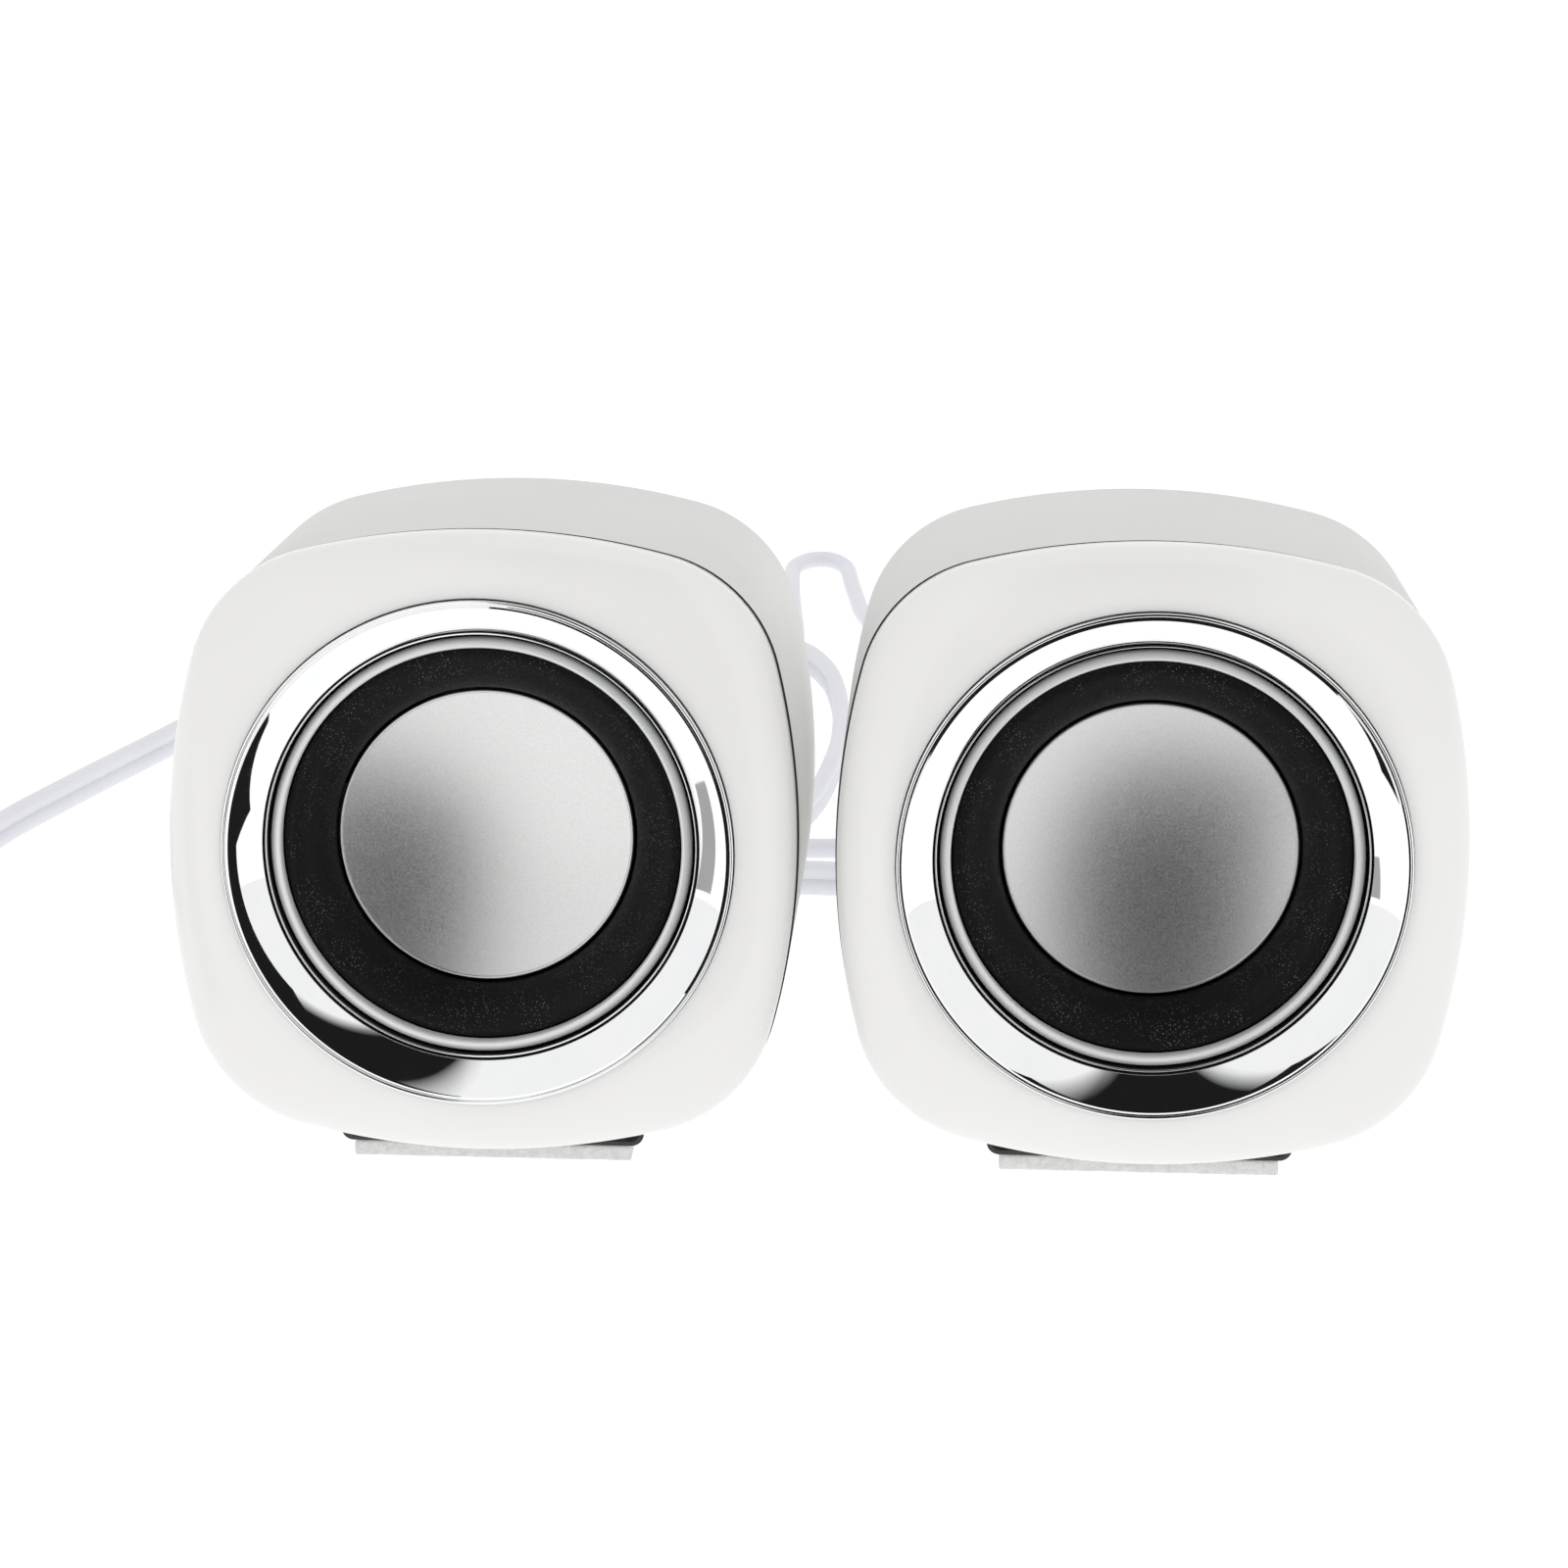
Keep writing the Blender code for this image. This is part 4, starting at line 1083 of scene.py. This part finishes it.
def make_splitter():
    """The flat moulding where the twin lead parts into two tails."""
    start, end = SPLITTER_Y
    sections = [(start, 1.9, 1.9, 1.2), (start - 0.5, 2.6, 2.2, 1.4), (start - 2.5, 3.5, 2.4, 1.6)]
    sections += [(start - 4.5, 4.1, 2.5, 1.7), (end + 2, 4.2, 2.5, 1.7), (end + 0.4, 4, 2.3, 1.5)]
    mesh = moulded(COIL_CENTRE[0], 2.6, [*sections, (end, 3.6, 2, 1.3)])
    return show("splitter_moulding", "lead_splitter", "lead", mesh, TABLE, 45)


def make_usb_plug():
    """The overmould with grip ridges, the folded steel shell with its windows, and the tongue."""
    x, z = USB_X, PLUG_HEIGHT
    back, front = PLUG_Y, PLUG_Y - 28
    sections = [(back, 1.9, 1.9, 1.85), (back - 5.5, 2.6, 2.6, 2.5), (back - 6.2, 5.2, 3.3, 2.4)]
    sections += [(back - 7, 6.6, 3.8, 2), (back - 9, 7.4, 4, 1.6)]
    for k in range(5):
        y = back - 11 - 1.8 * k
        sections += [(y, 7.5, 4, 1.6), (y - 0.3, 7.15, 4, 1.5)]
        sections += [(y - 0.9, 7.15, 4, 1.5), (y - 1.2, 7.5, 4, 1.6)]
    sections += [(front + 0.6, 7.5, 4, 1.6), (front, 7, 3.6, 1.3)]
    body = show("usb_overmould", "usb_plug_body", "lead", moulded(x, z, sections), TABLE, 45)
    low, high = front - 12.3, front - 0.3
    mesh = moulded(x, z, [(y, 6, 2.25, 0.5) for y in (high, low)])
    shell = add_piece("usb_steel_shell", mesh, "steel", TABLE)
    inside = moulded(x, z, [(y, 5.65, 1.9, 0.3) for y in (high - 1, low - 1)])
    combine(shell, inside, "DIFFERENCE", TABLE)
    for side in (-1, 1):
        middle = x + side * 2.2
        window = block((middle - 1.1, low + 5.2, z - 4), (middle + 1.1, low + 7.4, z + 4))
        combine(shell, closed_mesh(window), "DIFFERENCE", TABLE)
    stand_for(shell, "usb_plug_shell")
    tongue = moulded(x, z - 0.9, [(y, 5.4, 0.85, 0.1) for y in (high - 1, low + 0.4)])
    piece = add_piece("usb_tongue", tongue, "black_plastic", TABLE)
    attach(piece, ROOT)
    return [body, shell, piece]


def make_jack_plug():
    """The overmould with grip rings, and the pin with its insulating rings."""
    place = TABLE @ Matrix.Translation(Vector((JACK_X, PLUG_Y, PLUG_HEIGHT)) * MM)
    body = [(0, 0), (1.9, 0)]
    for k in range(4):
        y, wide = -0.6 - 1.4 * k, 1.9 + 0.2 * k
        body += [(wide, y), (wide - 0.3, y - 0.2), (wide - 0.3, y - 0.6), (wide + 0.05, y - 0.8)]
    body += [(2.7, -6.4), (3.6, -7.2), (3.9, -7.9)]
    for k in range(6):
        y = -10 - 1.5 * k
        body += [(3.9, y), (3.65, y - 0.25), (3.65, y - 0.75), (3.9, y - 1)]
    body += [(3.9, -21.6), (3.6, -22.6), (2.9, -24), (0, -24)]
    moulding = turned(body, SMALL_POINTS)
    moulding = show("jack_overmould", "jack_plug_body", "lead", moulding, place, 45)
    pin = [(0, -24.3), (1.75, -24.3), (1.75, -28.6), (1.70, -28.7), (1.70, -29.3), (1.75, -29.4)]
    pin += [(1.75, -32.6), (1.70, -32.7), (1.70, -33.3), (1.75, -33.4), (1.75, -34.6), (1.5, -35.2)]
    pin += [(1.2, -35.8), (1.25, -36.1), (1.6, -36.8), (1.55, -37.1), (0.9, -38), (0, -38.3)]
    pin = show("jack_steel_pin", "jack_plug_pin", "steel", turned(pin, SMALL_POINTS), place, 45)
    darken(pin.data, lambda r, y: -29.32 < y < -28.68 or -33.32 < y < -32.68)
    return [moulding, pin]


# ---- stage


def make_floor():
    """A plain pale floor that glows evenly, like a light table."""
    mesh = bpy.data.meshes.new("floor")
    reach = 8.0
    corners = [(-reach, -reach, 0), (reach, -reach, 0), (reach, reach, 0), (-reach, reach, 0)]
    mesh.from_pydata(corners, [], [(0, 1, 2, 3)])
    made = Finish("pale_floor")
    inputs = made.shader.inputs
    inputs["Base Color"].default_value = (0.0, 0.0, 0.0, 1.0)
    inputs["Specular IOR Level"].default_value = 0.0
    inputs["Emission Color"].default_value = (1.0, 1.0, 1.0, 1.0)
    glow = made.spread(made.noise(400.0), FLOOR_GLOW, FLOOR_GLOW + 0.01)
    made.links.new(glow, inputs["Emission Strength"])
    mesh.materials.append(made.material)
    floor = new_object("floor", mesh)


def studio_card(name, corners, glow, edge_glow, soft=0.0):
    """A flat card that only reflections see, by four corners. It brightens towards its two sides."""
    a, b, c, d = (TABLE @ (Vector(corner) * MM) for corner in corners)
    shares = (0.0, soft, 1 - soft, 1.0) if soft else (0.0, 1.0)
    points = [a.lerp(b, share) for share in shares] + [d.lerp(c, share) for share in shares]
    count = len(shares)
    faces = [(k, k + 1, count + k + 1, count + k) for k in range(count - 1)]
    mesh = bpy.data.meshes.new(name)
    mesh.from_pydata(points, [], faces)
    levels = [edge_glow if soft and share in (0.0, 1.0) else glow for share in shares]
    mesh.attributes.new("glow", "FLOAT", "POINT").data.foreach_set("value", levels * 2)
    made = bpy.data.materials.new(name)
    made.use_nodes = True
    nodes, links = made.node_tree.nodes, made.node_tree.links
    nodes.clear()
    level = nodes.new("ShaderNodeAttribute")
    level.attribute_name = "glow"
    shine = nodes.new("ShaderNodeEmission")
    links.new(level.outputs["Fac"], shine.inputs["Strength"])
    links.new(shine.outputs[0], nodes.new("ShaderNodeOutputMaterial").inputs["Surface"])
    mesh.materials.append(made)
    card = new_object(name, mesh)
    card.visible_camera = False
    card.visible_diffuse = False
    card.visible_shadow = False
    card.visible_transmission = False


def soft_panel(name, centre, target, size, power):
    """A large soft light."""
    data = bpy.data.lights.new(name, "AREA")
    data.shape = "RECTANGLE"
    data.size, data.size_y = size[0] * MM, size[1] * MM
    data.energy = power
    centre, target = TABLE @ (Vector(centre) * MM), TABLE @ (Vector(target) * MM)
    facing = (centre - target).to_track_quat("Z", "Y").to_matrix().to_4x4()
    light = new_object(name, data, Matrix.Translation(centre) @ facing)
    light.visible_camera = False
    light.visible_glossy = False


def make_studio():
    """An even white surround with a dark gap in front and overhead, as between soft boxes."""
    world = bpy.data.worlds.new("studio")
    world.use_nodes = True
    ground = world.node_tree.nodes["Background"]
    ground.inputs["Color"].default_value = (1.0, 1.0, 1.0, 1.0)
    ground.inputs["Strength"].default_value = SURROUND_GLOW
    bpy.context.scene.world = world
    bpy.context.scene.view_settings.view_transform = "Standard"
    near, far, low, high = -66, -172, 1, 150
    left, right = -52, 125
    dark = (DARK_GLOW, SURROUND_GLOW)
    table = [(-8, near, low), (54, near, low), (right, far, low), (left, far, low)]
    front = [(left, far, low), (right, far, low), (right, far, high), (left, far, high)]
    above = [(left, far, high), (right, far, high), (215, 60, 800), (-150, 60, 800)]
    studio_card("table_gap", table, *dark)
    studio_card("front_gap", front, *dark)
    studio_card("overhead_gap", above, *dark, 0.22)
    side = [(-110, -15, low), (-110, -50, low), (-900, -400, low), (-900, -60, low)]
    studio_card("table_side", side, 0.4, 0.4)
    soft_panel("gap_panel", (1.6, 38, 40), (-8, 38, 40), (52, 60), GAP_POWER)


# ---- assembly


def carry_over():
    """Gives each CAD node that stays its procedural finish."""
    slots = {row["node"]: row["material_slot"] for row in frame["record"]["subparts"]}
    for name, node in frame["nodes"].items():
        node.data.materials.clear()
        node.data.materials.append(FINISHES[slots[name]])


def main():
    make_camera()
    carry_over()
    make_main_lead(make_splitter())
    make_link_lead()
    usb, jack = make_usb_plug(), make_jack_plug()
    make_tail("usb_round_tail", "usb_tail", -1, USB_X)
    make_tail("audio_round_tail", "audio_tail", 1, JACK_X)
    make_speaker("left", [LEFT_LINK_EXIT])
    make_speaker("right", [MAIN_EXIT, RIGHT_LINK_EXIT, KNOB_PLACE])
    make_knob()
    make_grommet("left", "link", LEFT_LINK_EXIT, LINK_WIDTH)
    make_grommet("right", "link", RIGHT_LINK_EXIT, LINK_WIDTH)
    make_grommet("right", "main", MAIN_EXIT, TWIN_WIDTH)
    make_floor()
    make_studio()


main()
